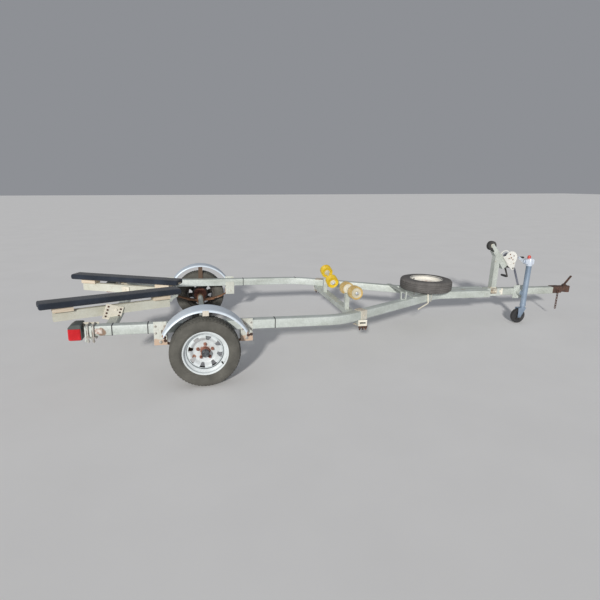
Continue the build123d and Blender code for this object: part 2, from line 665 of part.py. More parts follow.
def build_spare():
    axis = (0, 0, 1)
    profile = tyre_face(SPARE_R, SPARE_W, SPARE_SEAT_R, SPARE_FLANGE_R, SPARE_HALF_W)
    tyre = revolve(Plane.XZ * profile, Axis.Z)
    nodes["spare_tyre"] = Pos(SPARE_X, 0, SPARE_Z) * tyre
    half = SPARE_HALF_W
    steps = [
        (SPARE_FLANGE_R, half), (SPARE_FLANGE_R, half - 5), (SPARE_SEAT_R, half - 10),
        (SPARE_SEAT_R, half - 28), (SPARE_WELL_R, half - 38), (SPARE_WELL_R, 34 - half),
        (SPARE_SEAT_R, 26 - half),
        (SPARE_SEAT_R, 10 - half), (SPARE_FLANGE_R, 5 - half), (SPARE_FLANGE_R, -half),
    ]
    outline = steps + [(r - RIM_SHEET, t) for r, t in reversed(steps)]
    rim = revolve(Plane.XZ * make_face(Polyline(*outline, close=True)), Axis.Z)
    disc_steps = [(34, 0), (80, 0), (104, 16), (SPARE_WELL_R - RIM_SHEET, 8)]
    outline = disc_steps + [(r, t + DISC_SHEET) for r, t in reversed(disc_steps)]
    disc = revolve(Plane.XZ * make_face(Polyline(*outline, close=True)), Axis.Z)
    for count in range(LUGS):
        angle = 2 * pi * count / LUGS
        x, y = LUG_CIRCLE_R * cos(angle), LUG_CIRCLE_R * sin(angle)
        disc -= rod((x, y, 0), (x, y, DISC_SHEET), SPARE_BOLT_R)
    nodes["spare_rim"] = Pos(SPARE_X, 0, SPARE_Z) * (rim + disc)
    stud_turn = pi - pi / LUGS
    stud_x = SPARE_X + LUG_CIRCLE_R * cos(stud_turn)
    reach = rail_y(stud_x) + RAIL_W / 2
    x = (stud_x - CARRIER_W / 2, stud_x + CARRIER_W / 2)
    bar = block(x, (-reach, reach), (RAIL_TOP, RAIL_TOP + CARRIER_T))
    saddle = LUG_CIRCLE_R * sin(stud_turn) + 2 * BOLT_R
    bar += block((stud_x - 2 * BOLT_R, stud_x + 2 * BOLT_R), (-saddle, saddle), (RAIL_TOP, SPARE_Z))
    for end in (-1, 1):
        stud_y = end * LUG_CIRCLE_R * sin(stud_turn)
        bar += rod((stud_x, stud_y, SPARE_Z), (stud_x, stud_y, SPARE_Z + STUD_OUT), BOLT_R)
    reach = rail_y(CARRIER_REAR_X) + RAIL_W / 2
    x = (CARRIER_REAR_X - CARRIER_W / 2, CARRIER_REAR_X + CARRIER_W / 2)
    nodes["spare_carrier"] = [bar, block(x, (-reach, reach), (RAIL_TOP, RAIL_TOP + CARRIER_T))]


def on_arm(along, across):
    """Point in X, Z a distance up the winch arm and square to it, forward and up."""
    angle = radians(ARM_ANGLE)
    x = ARM_FOOT[0] + along * cos(angle) + across * sin(angle)
    z = ARM_FOOT[1] + along * sin(angle) - across * cos(angle)
    return (x, z)


def build_winch_post():
    half = POST_W / 2
    arm_low = -ARM_T / 2
    steps = (POST_X - half, POST_X + half)
    tops = []
    for x in steps:
        lift = (x - on_arm(0, arm_low)[0]) / cos(radians(ARM_ANGLE))
        tops.append((x, on_arm(lift, arm_low)[1]))
    outline = [(steps[0], RAIL_TOP + POST_CLAMP_T), (steps[1], RAIL_TOP + POST_CLAMP_T), tops[1], tops[0]]
    post = plate(outline, -half, half)
    inner = half - POST_WALL
    post -= block((POST_X - inner, POST_X + inner), (-inner, inner), (RAIL_TOP, WINCH_Z))
    base_x = (POST_X - POST_CLAMP_L / 2, POST_X + POST_CLAMP_L / 2)
    out = TONGUE_W / 2 + POST_CLAMP_T
    post += block(base_x, (-out, out), (RAIL_TOP, RAIL_TOP + POST_CLAMP_T))
    for sign in (-1, 1):
        y = sorted((sign * TONGUE_W / 2, sign * out))
        post += block(base_x, y, (RAIL_TOP - POST_CLAMP_DROP, RAIL_TOP))
        for x in (base_x[0] + 3 * HEAD_R, base_x[1] - 3 * HEAD_R):
            post += bolt_head(x, sign * out, TONGUE_MID_Z, sign)
    nodes["winch_post"] = post
    y = (-ARM_W / 2, ARM_W / 2)
    solid = [on_arm(ARM_FROM, -ARM_T / 2), on_arm(ARM_TO, -ARM_T / 2), on_arm(ARM_TO, ARM_T / 2),
             on_arm(ARM_FROM, ARM_T / 2)]
    hollow = ARM_T / 2 - ARM_WALL
    core = [on_arm(ARM_FROM, -hollow), on_arm(ARM_TO, -hollow), on_arm(ARM_TO, hollow),
            on_arm(ARM_FROM, hollow)]
    arm = plate(solid, *y) - plate(core, y[0] + ARM_WALL, y[1] - ARM_WALL)
    for sign in (-1, 1):
        ear_y = sorted((sign * ARM_W / 2, sign * (ARM_W / 2 + EAR_T)))
        ear = [on_arm(ARM_TO - EAR_OVERLAP, -22), on_arm(BOW_ALONG + 18, -18), on_arm(BOW_ALONG + 18, 18),
               on_arm(ARM_TO - EAR_OVERLAP, 22)]
        arm += plate(ear, *ear_y)
    x, z = on_arm(BOW_ALONG, 0)
    reach = ARM_W / 2 + EAR_T + HEAD_T
    arm += rod((x, -reach, z), (x, reach, z), BOW_PIN_R)
    nodes["winch_arm"] = arm
    roller = rod((x, -BOW_W / 2, z), (x, BOW_W / 2, z), BOW_R)
    roller = fillet(roller.edges().filter_by(GeomType.CIRCLE), BOW_R * 0.2)
    nodes["bow_roller"] = roller - rod((x, -BOW_W, z), (x, BOW_W, z), BOW_PIN_R + BOW_PIN_GAP)


def build_winch():
    seat = ARM_T / 2
    half = WINCH_HALF_W
    low, high = WINCH_BASE
    frame = plate([on_arm(low, seat), on_arm(high, seat), on_arm(high, seat + WINCH_SHEET),
                   on_arm(low, seat + WINCH_SHEET)], -half, half)
    for sign in (-1, 1):
        y = sorted((sign * half, sign * (half + WINCH_SHEET)))
        side = rod((WINCH_X, y[0], WINCH_Z), (WINCH_X, y[1], WINCH_Z), WINCH_R)
        foot = [on_arm(-16, seat), on_arm(120, seat), (WINCH_X - 30, WINCH_Z + 30),
                (WINCH_X + WINCH_R - 6, WINCH_Z - 20), (CRANK_X + 18, CRANK_Z - 14),
                (CRANK_X - 8, CRANK_Z - 20)]
        side += plate(foot, *y)
        side -= rod((CRANK_X, y[0], CRANK_Z), (CRANK_X, y[1], CRANK_Z), WINCH_SHAFT_R + WINCH_GAP)
        frame += side
    frame += rod((WINCH_X, -half, WINCH_Z), (WINCH_X, half, WINCH_Z), WINCH_SHAFT_R)
    nodes["winch_frame"] = frame
    gap = 2.0
    drum = rod((WINCH_X, gap - half, WINCH_Z), (WINCH_X, half - gap, WINCH_Z), DRUM_CORE_R)
    drum += rod((WINCH_X, 8 - half, WINCH_Z), (WINCH_X, half - 8, WINCH_Z), DRUM_WRAP_R)
    for sign in (-1, 1):
        flange_ends = [(WINCH_X, sign * (half - inset), WINCH_Z) for inset in (8, 5)]
        drum += rod(*flange_ends, DRUM_FLANGE_R)
    drum -= rod((WINCH_X, -half, WINCH_Z), (WINCH_X, half, WINCH_Z), WINCH_SHAFT_R + WINCH_GAP)
    nodes["winch_drum"] = drum
    shaft_end = half + WINCH_SHEET + CRANK_OUT
    crank = rod((CRANK_X, -half - WINCH_SHEET - 6, CRANK_Z), (CRANK_X, shaft_end, CRANK_Z), WINCH_SHAFT_R)
    angle = radians(CRANK_ANGLE)
    tip = (CRANK_X + CRANK_L * cos(angle), CRANK_Z + CRANK_L * sin(angle))
    across = (-sin(angle) * CRANK_W / 2, cos(angle) * CRANK_W / 2)
    bar = [(CRANK_X - across[0], CRANK_Z - across[1]), (tip[0] - across[0], tip[1] - across[1]),
           (tip[0] + across[0], tip[1] + across[1]), (CRANK_X + across[0], CRANK_Z + across[1])]
    crank += plate(bar, shaft_end - CRANK_T, shaft_end)
    for x, z in ((CRANK_X, CRANK_Z), tip):
        crank += rod((x, shaft_end - CRANK_T, z), (x, shaft_end, z), CRANK_W / 2)
    crank += rod((tip[0], shaft_end, tip[1]), (tip[0], shaft_end + GRIP_L, tip[1]), GRIP_R)
    nodes["winch_crank"] = crank
    start = Vector(WINCH_X + DRUM_WRAP_R + STRAP_WEB_T + 1, 0, WINCH_Z)
    end = Vector(STRAP_HOOK_X, 0, RAIL_TOP + ANCHOR_H + HOOK_R + FIT)
    run = end - start
    side = Vector(run.Z, 0, -run.X).normalized() * STRAP_WEB_T
    web = [(start.X, start.Z), (end.X, end.Z), (end.X - side.X, end.Z - side.Z),
           (start.X - side.X, start.Z - side.Z)]
    strap = plate(web, -STRAP_WEB_W / 2, STRAP_WEB_W / 2)
    strap += rod((end.X, -STRAP_WEB_W / 2 - 4, end.Z), (end.X, STRAP_WEB_W / 2 + 4, end.Z), HOOK_R)
    nodes["winch_strap"] = strap


def build_jack():
    near = -TONGUE_W / 2
    x = (JACK_X - BRACKET_L / 2, JACK_X + BRACKET_L / 2)
    z = (JACK_PIVOT_Z - BRACKET_H / 2, JACK_PIVOT_Z + BRACKET_H / 2)
    bracket = block(x, (near - BRACKET_T, near), z)
    boss_face = JACK_Y + JACK_TUBE_R + 12
    pivot_ends = [(JACK_X, y, JACK_PIVOT_Z) for y in (near - BRACKET_T, boss_face + FIT)]
    bracket += rod(*pivot_ends, SWING_BOSS_R)
    bracket += rod((JACK_X, near, JACK_PIVOT_Z), (JACK_X, boss_face - 14, JACK_PIVOT_Z), SWING_PIN_R)
    for dx in (-1, 1):
        for z_bolt in (z[0] + 14, z[1] - 14):
            bracket += bolt_head(JACK_X + dx * (BRACKET_L / 2 - 16), near - BRACKET_T, z_bolt, -1)
    nodes["jack_bracket"] = bracket
    tube_z = (JACK_TUBE_FOOT, JACK_TUBE_TOP)
    bore = JACK_TUBE_R - JACK_TUBE_WALL
    jack = rod((JACK_X, JACK_Y, tube_z[0]), (JACK_X, JACK_Y, tube_z[1]), JACK_TUBE_R)
    jack += rod((JACK_X, JACK_Y, JACK_PIVOT_Z), (JACK_X, boss_face, JACK_PIVOT_Z), SWING_BOSS_R)
    jack -= rod((JACK_X, JACK_Y, tube_z[0]), (JACK_X, JACK_Y, tube_z[1]), bore)
    jack -= rod((JACK_X, boss_face, JACK_PIVOT_Z), (JACK_X, boss_face - 15, JACK_PIVOT_Z), SWING_PIN_R + 0.06)
    nodes["jack_tube"] = jack
    head = rod((JACK_X, JACK_Y, tube_z[1]), (JACK_X, JACK_Y, tube_z[1] + HEAD_H), HEAD_BODY_R)
    head = fillet(head.edges().sort_by(Axis.Z)[-1], HEAD_BODY_R * 0.4)
    shaft_z = tube_z[1] + HEAD_H * 0.5
    crank_x = JACK_X - JACK_CRANK_OUT
    grip_y = JACK_Y + JACK_CRANK_REACH
    grip_z = shaft_z + JACK_CRANK_RISE
    head += rod((JACK_X, JACK_Y, shaft_z), (crank_x, JACK_Y, shaft_z), WINCH_SHAFT_R)
    arm_half = CRANK_W / 2
    arm = [(JACK_Y, shaft_z - arm_half), (grip_y, grip_z - arm_half), (grip_y, grip_z + arm_half),
           (JACK_Y, shaft_z + arm_half)]
    arm_face = Plane(origin=(crank_x - CRANK_T, 0, 0), x_dir=(0, 1, 0), z_dir=(1, 0, 0))
    head += extrude(arm_face * make_face(Polyline(*arm, close=True)), CRANK_T)
    for y, z in ((JACK_Y, shaft_z), (grip_y, grip_z)):
        head += rod((crank_x - CRANK_T, y, z), (crank_x, y, z), arm_half)
    head += rod((crank_x, grip_y, grip_z), (crank_x + JACK_GRIP_L, grip_y, grip_z), JACK_GRIP_R)
    knob_x = JACK_X - KNOB_BACK
    head_top = tube_z[1] + HEAD_H
    head += rod((knob_x, JACK_Y, head_top - HEAD_T), (knob_x, JACK_Y, head_top + KNOB_H), KNOB_R)
    nodes["jack_head"] = head
    fork_top = JACK_WHEEL_Z + JACK_WHEEL_R + 8
    leg_foot = fork_top + FORK_T + FIT
    leg_top = JACK_TUBE_TOP - JACK_LEG_SPARE
    leg = rod((JACK_X, JACK_Y, leg_foot), (JACK_X, JACK_Y, leg_top), JACK_LEG_R, JACK_LEG_R - JACK_LEG_WALL)
    leg += rod((JACK_X, JACK_Y, leg_foot), (JACK_X, JACK_Y, leg_foot + JACK_LEG_WALL), JACK_LEG_R)
    leg += rod((JACK_X, JACK_Y, leg_foot - 16), (JACK_X, JACK_Y, leg_foot), STEM_R)
    nodes["jack_leg"] = leg
    cheek = JACK_WHEEL_W / 2 + FORK_GAP
    fork_x = (JACK_WHEEL_X - 22, JACK_X + 26)
    fork = block(fork_x, (JACK_Y - cheek - FORK_T, JACK_Y + cheek + FORK_T), (fork_top, fork_top + FORK_T))
    for sign in (-1, 1):
        y = sorted((JACK_Y + sign * cheek, JACK_Y + sign * (cheek + FORK_T)))
        outline = [(fork_x[0], fork_top), (fork_x[1], fork_top), (JACK_WHEEL_X + 16, JACK_WHEEL_Z - 16),
                   (JACK_WHEEL_X - 16, JACK_WHEEL_Z - 16)]
        fork += plate(outline, *y)
    reach = cheek + HEAD_T
    axle_ends = [(JACK_WHEEL_X, JACK_Y + sign * reach, JACK_WHEEL_Z) for sign in (-1, 1)]
    fork += rod(*axle_ends, JACK_AXLE_R)
    fork -= rod((JACK_X, JACK_Y, fork_top - 1), (JACK_X, JACK_Y, fork_top + FORK_T + 1), STEM_R + JACK_GAP)
    nodes["jack_fork"] = fork
    half = JACK_WHEEL_W / 2
    wheel_ends = [(JACK_WHEEL_X, JACK_Y + sign * half, JACK_WHEEL_Z) for sign in (-1, 1)]
    nodes["jack_wheel"] = rod(*wheel_ends, JACK_WHEEL_R, JACK_AXLE_R + JACK_GAP)


def build_coupler():
    inner = TONGUE_W / 2
    out = inner + COUPLER_T
    top = RAIL_TOP + COUPLER_T
    body = block((COUPLER_REAR_X, COUPLER_SLEEVE_X), (-out, out), (COUPLER_FOOT, top))
    body -= block((COUPLER_REAR_X, COUPLER_SLEEVE_X - COUPLER_T), (-inner, inner), (COUPLER_FOOT, RAIL_TOP))
    body += rod((CHAIN_X, -out, CHAIN_TOP_Z), (CHAIN_X, -out - CHAIN_BOLT_L, CHAIN_TOP_Z), CHAIN_BOLT_R)
    body += bolt_head(CHAIN_X, -out - CHAIN_BOLT_L, CHAIN_TOP_Z, -1)
    neck = block((COUPLER_SLEEVE_X - COUPLER_T, NOSE_X), (-32, 32), (COUPLER_FOOT + 8, top))
    neck -= block((COUPLER_SLEEVE_X, NOSE_X), (-27, 27), (COUPLER_FOOT + 8, top - 8))
    nose = rod((NOSE_X, 0, COUPLER_FOOT + 4), (NOSE_X, 0, top), NOSE_R)
    nose -= rod((NOSE_X, 0, COUPLER_FOOT + 4), (NOSE_X, 0, COUPLER_FOOT + 4 + SOCKET_DEPTH), SOCKET_R)
    coupler = body + (neck - rod((NOSE_X, 0, COUPLER_FOOT), (NOSE_X, 0, top), NOSE_R - 2)) + nose
    nodes["coupler"] = coupler
    angle = radians(LATCH_RISE)
    run = (cos(angle), sin(angle))
    base = (LATCH_X, top + 16)
    across = (-run[1] * LATCH_T / 2, run[0] * LATCH_T / 2)
    tip = (base[0] + LATCH_L * run[0], base[1] + LATCH_L * run[1])
    bar = [(base[0] - across[0], base[1] - across[1]), (tip[0] - across[0], tip[1] - across[1]),
           (tip[0] + across[0], tip[1] + across[1]), (base[0] + across[0], base[1] + across[1])]
    latch = plate(bar, -LATCH_W / 2, LATCH_W / 2)
    latch += rod((base[0], -LATCH_W / 2 - 4, base[1]), (base[0], LATCH_W / 2 + 4, base[1]), 9)
    latch += block((base[0] - 24, base[0] + 24), (-LATCH_W / 2, LATCH_W / 2), (top, base[1]))
    nodes["coupler_latch"] = latch
    links = []
    hang_y = -out - CHAIN_BOLT_L / 2
    link_half = CHAIN_PITCH / 2 + CHAIN_WIRE_R + FIT / 2
    first_z = CHAIN_TOP_Z + CHAIN_BOLT_R + FIT - (link_half - CHAIN_WIRE_R)
    for count in range(CHAIN_LINKS):
        path = SlotOverall(2 * link_half, CHAIN_LINK_W, rotation=90).wire()
        start = path @ 0
        plane = Plane(origin=start, z_dir=path % 0)
        link = sweep(plane * Circle(CHAIN_WIRE_R), path=path)
        turn = Rot(0, 0, 90 * (count % 2)) * Rot(90, 0, 0)
        links.append(Pos(CHAIN_X, hang_y, first_z - count * CHAIN_PITCH) * turn * link)
    nodes["safety_chain"] = links


def build_lamps():
    lamps = []
    hoods = []
    markers = []
    for name, sign in SIDES:
        y_out = RAIL_OUT_Y
        y = sorted((sign * y_out, sign * (y_out - LAMP_W)))
        lamps.append(block((LAMP_X, LAMP_X + LAMP_L), y, (LAMP_FOOT, LAMP_TOP)))
        hood = block((LAMP_X, LAMP_X + LAMP_L), y, (LAMP_TOP, LAMP_HOOD_TOP))
        back_y = sorted((sign * (RAIL_IN_Y - FIT), sign * (RAIL_IN_Y - FIT - LAMP_HOOD_T)))
        hood += block((LAMP_X + LAMP_L, RAIL_REAR_X + LAMP_ARM_END), back_y, (RAIL_FOOT + 10, LAMP_HOOD_TOP))
        hood += block((LAMP_X + LAMP_L, LAMP_X + LAMP_L + LAMP_HOOD_T), y, (LAMP_FOOT, LAMP_HOOD_TOP))
        hoods.append(hood)
        y = sorted((sign * PLATE_Y, sign * (PLATE_Y + MARKER_T)))
        x = (MARKER_X - MARKER_L / 2, MARKER_X + MARKER_L / 2)
        markers.append(block(x, y, (RAIL_MID_Z - MARKER_H / 2, RAIL_MID_Z + MARKER_H / 2)))
    nodes["tail_lamps"] = lamps
    nodes["lamp_brackets"] = hoods
    nodes["side_markers"] = markers


def build_clamps():
    shapes = []
    turn = RAIL_TURN
    for name, sign in SIDES:
        middle = Pos(MID_CROSS_X, sign * rail_y(MID_CROSS_X), 0) * Rot(0, 0, -sign * turn)
        out = RAIL_W / 2 + FIT
        y = sorted((sign * out, sign * (out + STRAP_T)))
        strap = block((-MID_CROSS_W / 2, MID_CROSS_W / 2), y, (RAIL_FOOT, RAIL_TOP + STRAP_T))
        y = sorted((sign * (out + STRAP_T), -sign * (out + STRAP_T)))
        strap += block((-MID_CROSS_W / 2, MID_CROSS_W / 2), y, (RAIL_TOP + FIT, RAIL_TOP + FIT + STRAP_T))
        strap += bolt_head(0, sign * (out + STRAP_T), RAIL_MID_Z, sign)
        shapes.append(middle * strap)
        under = block((-MID_CROSS_W / 2 - 6, MID_CROSS_W / 2 + 6), (-out - STRAP_T, out + STRAP_T),
                      (RAIL_FOOT - MID_CROSS_H - STRAP_T, RAIL_FOOT - MID_CROSS_H))
        shapes.append(middle * under)
    nodes["frame_clamps"] = shapes
    plates = []
    for name, sign in SIDES:
        y_out = NECK_Y + RAIL_W / 2 + FIT
        y = sorted((sign * y_out, sign * (y_out + STRAP_T)))
        x = (RAIL_FRONT_X - NECK_PLATE_L - HEAD_T, RAIL_FRONT_X - HEAD_T)
        neck_plate = block(x, y, (RAIL_FOOT + HEAD_T, RAIL_TOP - HEAD_T))
        neck_plate += bolt_head((x[0] + x[1]) / 2, sign * (y_out + STRAP_T), RAIL_MID_Z, sign)
        plates.append(neck_plate)
    nodes["neck_plates"] = plates


build_rails()
build_cross_members()
build_axle()
build_hangers()
for side_name, side_sign in SIDES:
    build_wheel(side_name, side_sign)
build_fenders()
build_bunks()
build_rollers()
build_spare()
build_winch_post()
build_winch()
build_jack()
build_coupler()
build_lamps()
build_clamps()

lean = Pos(0, 0, AXLE_Z) * Rot(0, NOSE_DROP, 0) * Pos(0, 0, -AXLE_Z)
placed = {}
for node_name, node_shape in nodes.items():
    pieces = node_shape if isinstance(node_shape, list) else [node_shape]
    solids = [lean * solid for piece in pieces for solid in piece.solids()]
    placed[node_name] = solids[0] if len(solids) == 1 else Compound(children=solids)
rear_x = min(shape.bounding_box().min.X for shape in placed.values())
front_x = max(shape.bounding_box().max.X for shape in placed.values())
middle_x = (rear_x + front_x) / 2
print("middle of the trailer ahead of the axle", middle_x)

os.makedirs("parts", exist_ok=True)
for node_name, node_shape in placed.items():
    export_step(Pos(-middle_x, 0, 0) * node_shape, "parts/" + node_name + ".step")
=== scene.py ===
import bmesh
import bpy
import random
from math import atan, copysign, cos, hypot, pi, radians, sin, tan
from mathutils import Matrix, Vector


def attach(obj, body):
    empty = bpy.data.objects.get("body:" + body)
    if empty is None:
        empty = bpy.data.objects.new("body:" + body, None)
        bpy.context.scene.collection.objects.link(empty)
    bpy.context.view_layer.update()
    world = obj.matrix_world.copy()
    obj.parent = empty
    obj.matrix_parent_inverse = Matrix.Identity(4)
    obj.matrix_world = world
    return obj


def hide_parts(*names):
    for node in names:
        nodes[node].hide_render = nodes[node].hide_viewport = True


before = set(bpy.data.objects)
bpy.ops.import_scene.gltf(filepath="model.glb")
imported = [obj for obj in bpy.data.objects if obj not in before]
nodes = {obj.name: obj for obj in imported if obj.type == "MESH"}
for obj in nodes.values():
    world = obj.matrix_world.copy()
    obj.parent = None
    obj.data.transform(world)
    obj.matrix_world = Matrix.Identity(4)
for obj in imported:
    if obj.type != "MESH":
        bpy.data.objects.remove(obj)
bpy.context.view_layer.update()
scene = bpy.context.scene
random.seed(7)

# The CAD is drawn level, in millimetres, with its origin on the ground under the axle, and then
# leans nose down and moves back to the middle. Pieces here are drawn the same way.
NOSE_DROP = 1.65
AXLE_Z = 270.0
MIDDLE_X = 1500.14
MM = 0.001
SIDES = (("right", -1), ("left", 1))
ALONG, LEFT, RIGHT, UP, DOWN = (1, 0, 0), (0, 1, 0), (0, -1, 0), (0, 0, 1), (0, 0, -1)
LEAN = (
    Matrix.Translation((-MIDDLE_X * MM, 0, AXLE_Z * MM))
    @ Matrix.Rotation(radians(NOSE_DROP), 4, "Y")
    @ Matrix.Translation((0, 0, -AXLE_Z * MM))
)
PLACE = LEAN @ Matrix.Scale(MM, 4)

# Sizes shared with the CAD, in millimetres
RAIL_Y = 800.0
RAIL_HALF = 38.0
RAIL_OUT_Y = RAIL_Y + RAIL_HALF
RAIL_FOOT = 394.0
RAIL_TOP = 470.0
RAIL_REAR_X = -860.0
RAIL_BEND_X = 1130.0
NECK_X = 2440.0
RAIL_BEND_R = 500.0
NECK_BEND_R = 300.0
RAIL_FRONT_X = 3090.0
NECK_Y = 76.0
RAIL_SLOPE = (RAIL_Y - NECK_Y) / (NECK_X - RAIL_BEND_X)
HANGER_X = 330.0
HANGER_FACE_Y = 843.5
SPRING_EYE_Z = 325.0
WHEEL_Y = 935.0
TONGUE_HALF = 38.0
JACK_X = 3508.0
JACK_Y = -145.0


# Mesh helpers. Edges sharper than SHARP stay crisp under smooth shading.

SHARP = radians(38)


def finish_mesh(name, mesh, material, body, replaces=(), slot=None):
    """Turn a bmesh in level millimetres into a piece that rides on a body."""
    bmesh.ops.recalc_face_normals(mesh, faces=mesh.faces)
    for face in mesh.faces:
        face.smooth = True
    for edge in mesh.edges:
        if len(edge.link_faces) == 2:
            edge.smooth = edge.calc_face_angle(0.0) < SHARP
    data = bpy.data.meshes.new(name)
    mesh.to_mesh(data)
    mesh.free()
    data.transform(PLACE)
    data.materials.append(material)
    piece = bpy.data.objects.new(name, data)
    scene.collection.objects.link(piece)
    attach(piece, body)
    if replaces:
        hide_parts(*replaces)
    return piece


def make(name, material, body, *shapes, **how):
    """Piece drawn by several shapes, each a drawing function and what it is given after the mesh."""
    mesh = bmesh.new()
    for draw, *given in shapes:
        draw(mesh, *given)
    return finish_mesh(name, mesh, material, body, **how)


def add_loops(mesh, rings, close_rings=True, close_ends=False, cap=False):
    """Join rings of points by faces. cap closes both ends, as a strip where a ring outlines a bent sheet."""
    made = [[mesh.verts.new(point) for point in ring] for ring in rings]
    count = len(made[0])
    last = len(made) if close_ends else len(made) - 1
    for index in range(last):
        near, far = made[index], made[(index + 1) % len(made)]
        for step in range(count if close_rings else count - 1):
            after = (step + 1) % count
            mesh.faces.new((near[step], near[after], far[after], far[step]))
    for ring in (made[0], made[-1]) if cap == "strip" else ():
        for step in range(count // 2 - 1):
            mesh.faces.new((ring[step], ring[step + 1], ring[count - 2 - step], ring[count - 1 - step]))
    if cap is True:
        mesh.faces.new(list(reversed(made[0])))
        mesh.faces.new(made[-1])
    return made


def frame_of(axis, across=None):
    """Two directions square to an axis."""
    axis = Vector(axis).normalized()
    if across is None:
        across = UP if abs(axis.z) < 0.9 else ALONG
    first = (Vector(across) - axis * axis.dot(Vector(across))).normalized()
    return first, axis.cross(first)


def lathe(mesh, profile, centre, axis, steps, closed=False, across=None):
    """Turn radius, offset pairs about an axis; an open profile gets flat ends."""
    axis = Vector(axis).normalized()
    first, second = frame_of(axis, across)
    centre = Vector(centre)
    rings = []
    for step in range(steps):
        angle = 2 * pi * step / steps
        way = first * cos(angle) + second * sin(angle)
        rings.append([centre + way * r + axis * t for r, t in profile])
    made = add_loops(mesh, rings, closed, True)
    if not closed:
        for end in (0, -1):
            if profile[end][0] > 0.01:
                mesh.faces.new([ring[end] for ring in made])
    bmesh.ops.remove_doubles(mesh, verts=mesh.verts, dist=0.001)


def mirrored(points):
    """The same radius, offset pairs at the opposite offsets, in reverse."""
    return [(r, -t) for r, t in reversed(points)]


def rounded(points, radius, steps=3):
    """Round the corners of a flat outline."""
    result = []
    for index, point in enumerate(points):
        before = Vector(points[index - 1])
        here = Vector(point)
        after = Vector(points[(index + 1) % len(points)])
        reach = min(radius, (before - here).length * 0.45, (after - here).length * 0.45)
        start = here + (before - here).normalized() * reach
        stop = here + (after - here).normalized() * reach
        for step in range(steps + 1):
            share = step / steps
            result.append(tuple(start.lerp(here, share).lerp(here.lerp(stop, share), share)))
    return result


def prism(mesh, outline, origin, u, v, depth, bevel=0.0):
    """Solid of a flat outline in directions u and v, pushed along u x v by depth, with small chamfers."""
    u, v = Vector(u).normalized(), Vector(v).normalized()
    w = u.cross(v).normalized()
    origin = Vector(origin)
    points = [Vector(point) for point in outline]
    middle = Vector((sum(p.x for p in points) / len(points), sum(p.y for p in points) / len(points)))
    size = max((p - middle).length for p in points)
    rings = []
    layers = ((0, bevel), (bevel, 0), (depth - bevel, 0), (depth, bevel)) if bevel else ((0, 0), (depth, 0))
    for height, inset in layers:
        flat = [middle + (p - middle) * (1 - inset / size) for p in points]
        rings.append([origin + u * p.x + v * p.y + w * height for p in flat])
    add_loops(mesh, rings, cap=True)


def bar(mesh, x, y, z, bevel=1.5):
    """Box from pairs of ends with broken edges."""
    (x_low, x_high), (y_low, y_high), (low, high) = x, sorted(y), z
    rings = []
    for height, inset in ((low, bevel), (low + bevel, 0), (high - bevel, 0), (high, bevel)):
        corners = [(x_low + inset, y_low + inset), (x_high - inset, y_low + inset),
                   (x_high - inset, y_high - inset), (x_low + inset, y_high - inset)]
        rings.append([(*point, height) for point in rounded(corners, bevel, 1)])
    add_loops(mesh, rings, cap=True)


def wire(mesh, points, radius):
    """Round wire along points."""
    steps = 10
    points = [Vector(point) for point in points]
    rings = []
    side = None
    for index, point in enumerate(points):
        way = (points[min(index + 1, len(points) - 1)] - points[max(index - 1, 0)]).normalized()
        if side is None:
            side, _ = frame_of(way)
        side = (side - way * side.dot(way)).normalized()
        other = way.cross(side)
        angles = [2 * pi * step / steps for step in range(steps)]
        rings.append([point + side * radius * cos(angle) + other * radius * sin(angle) for angle in angles])
    add_loops(mesh, rings, cap=True)


# Columns: name, radius and height of the head or nut, radius of the washer, length of the thread's end
BOLTS = {name: size for name, *size in (
    ("bracket", 8.0, 3.5, 12.0, 0),
    ("clip", 5.5, 4.0, 8.0, 3.0),
    ("crank", 10.0, 7.0, 13.0, 4.0),
    ("eye", 10.0, 7.5, 13.0, 2.0),
    ("foot", 9.0, 7.0, 13.0, 5.0),
    ("hanger", 7.0, 5.0, 9.5, 3.0),
    ("lamp", 7.5, 5.0, 11.0, 6.0),
    ("post", 9.0, 6.0, 12.0, 2.0),
    ("post plate", 10.0, 7.0, 14.0, 3.0),
    ("roller", 8.5, 6.0, 13.0, 3.0),
    ("winch", 4.4, 3.0, 7.0, 0),
)}


def bolt(mesh, place, way, kind):
    """Hexagon head or nut on a washer, with a domed top and the end of a thread."""
    radius, height, washer, stub = BOLTS[kind]
    washer_t = 2.2
    first, _ = frame_of(way)
    first = Matrix.Rotation(random.uniform(0, 1), 3, Vector(way)) @ first
    lathe(mesh, [(0, 0), (washer, 0), (washer, 1.6), (washer - 0.8, washer_t), (0, washer_t)], place, way, 20)
    start = Vector(place) + Vector(way).normalized() * washer_t
    head = [(0, 0), (radius, 0), (radius, height - 1.2), (radius - 1.6, height), (0, height)]
    lathe(mesh, head, start, way, 6, False, first)
    if stub:
        core = radius * 0.52
        thread = [(0, 0), (core, 0), (core, stub - 1), (radius * 0.4, stub), (0, stub)]
        lathe(mesh, thread, start + Vector(way).normalized() * height, way, 12)


def arm_outline(length, root, tip):
    """Flat arm with round ends, from half its width at the root to half its width at the tip."""
    turns = [pi * step / 8 for step in range(1, 8)]
    outline = [(0.0, -root), (length, -tip)]
    outline += [(length + tip * sin(turn), -tip * cos(turn)) for turn in turns]
    outline += [(length, tip), (0.0, root)]
    return outline + [(-root * sin(turn), root * cos(turn)) for turn in turns]


def rail_y(x):
    """Middle line of the left rail, without the easing of its two bends."""
    if x < RAIL_BEND_X:
        return RAIL_Y
    return max(NECK_Y, RAIL_Y - RAIL_SLOPE * (x - RAIL_BEND_X))


def spot(x, y, z, reach):
    """Place in level millimetres and a reach in metres, as a sphere in metres."""
    return (*(PLACE @ Vector((x, y, z))), reach)


def both(name):
    return (name + "_left", name + "_right")


# Materials. Each is worked out from the object's own coordinates.

# Tone of the painted shade, with dirt, on faces toward the middle of the trailer
INWARD_SHADE_AND_DIRT = (0.05, 0.045, 0.04)
RUST = (0.21, 0.095, 0.045)


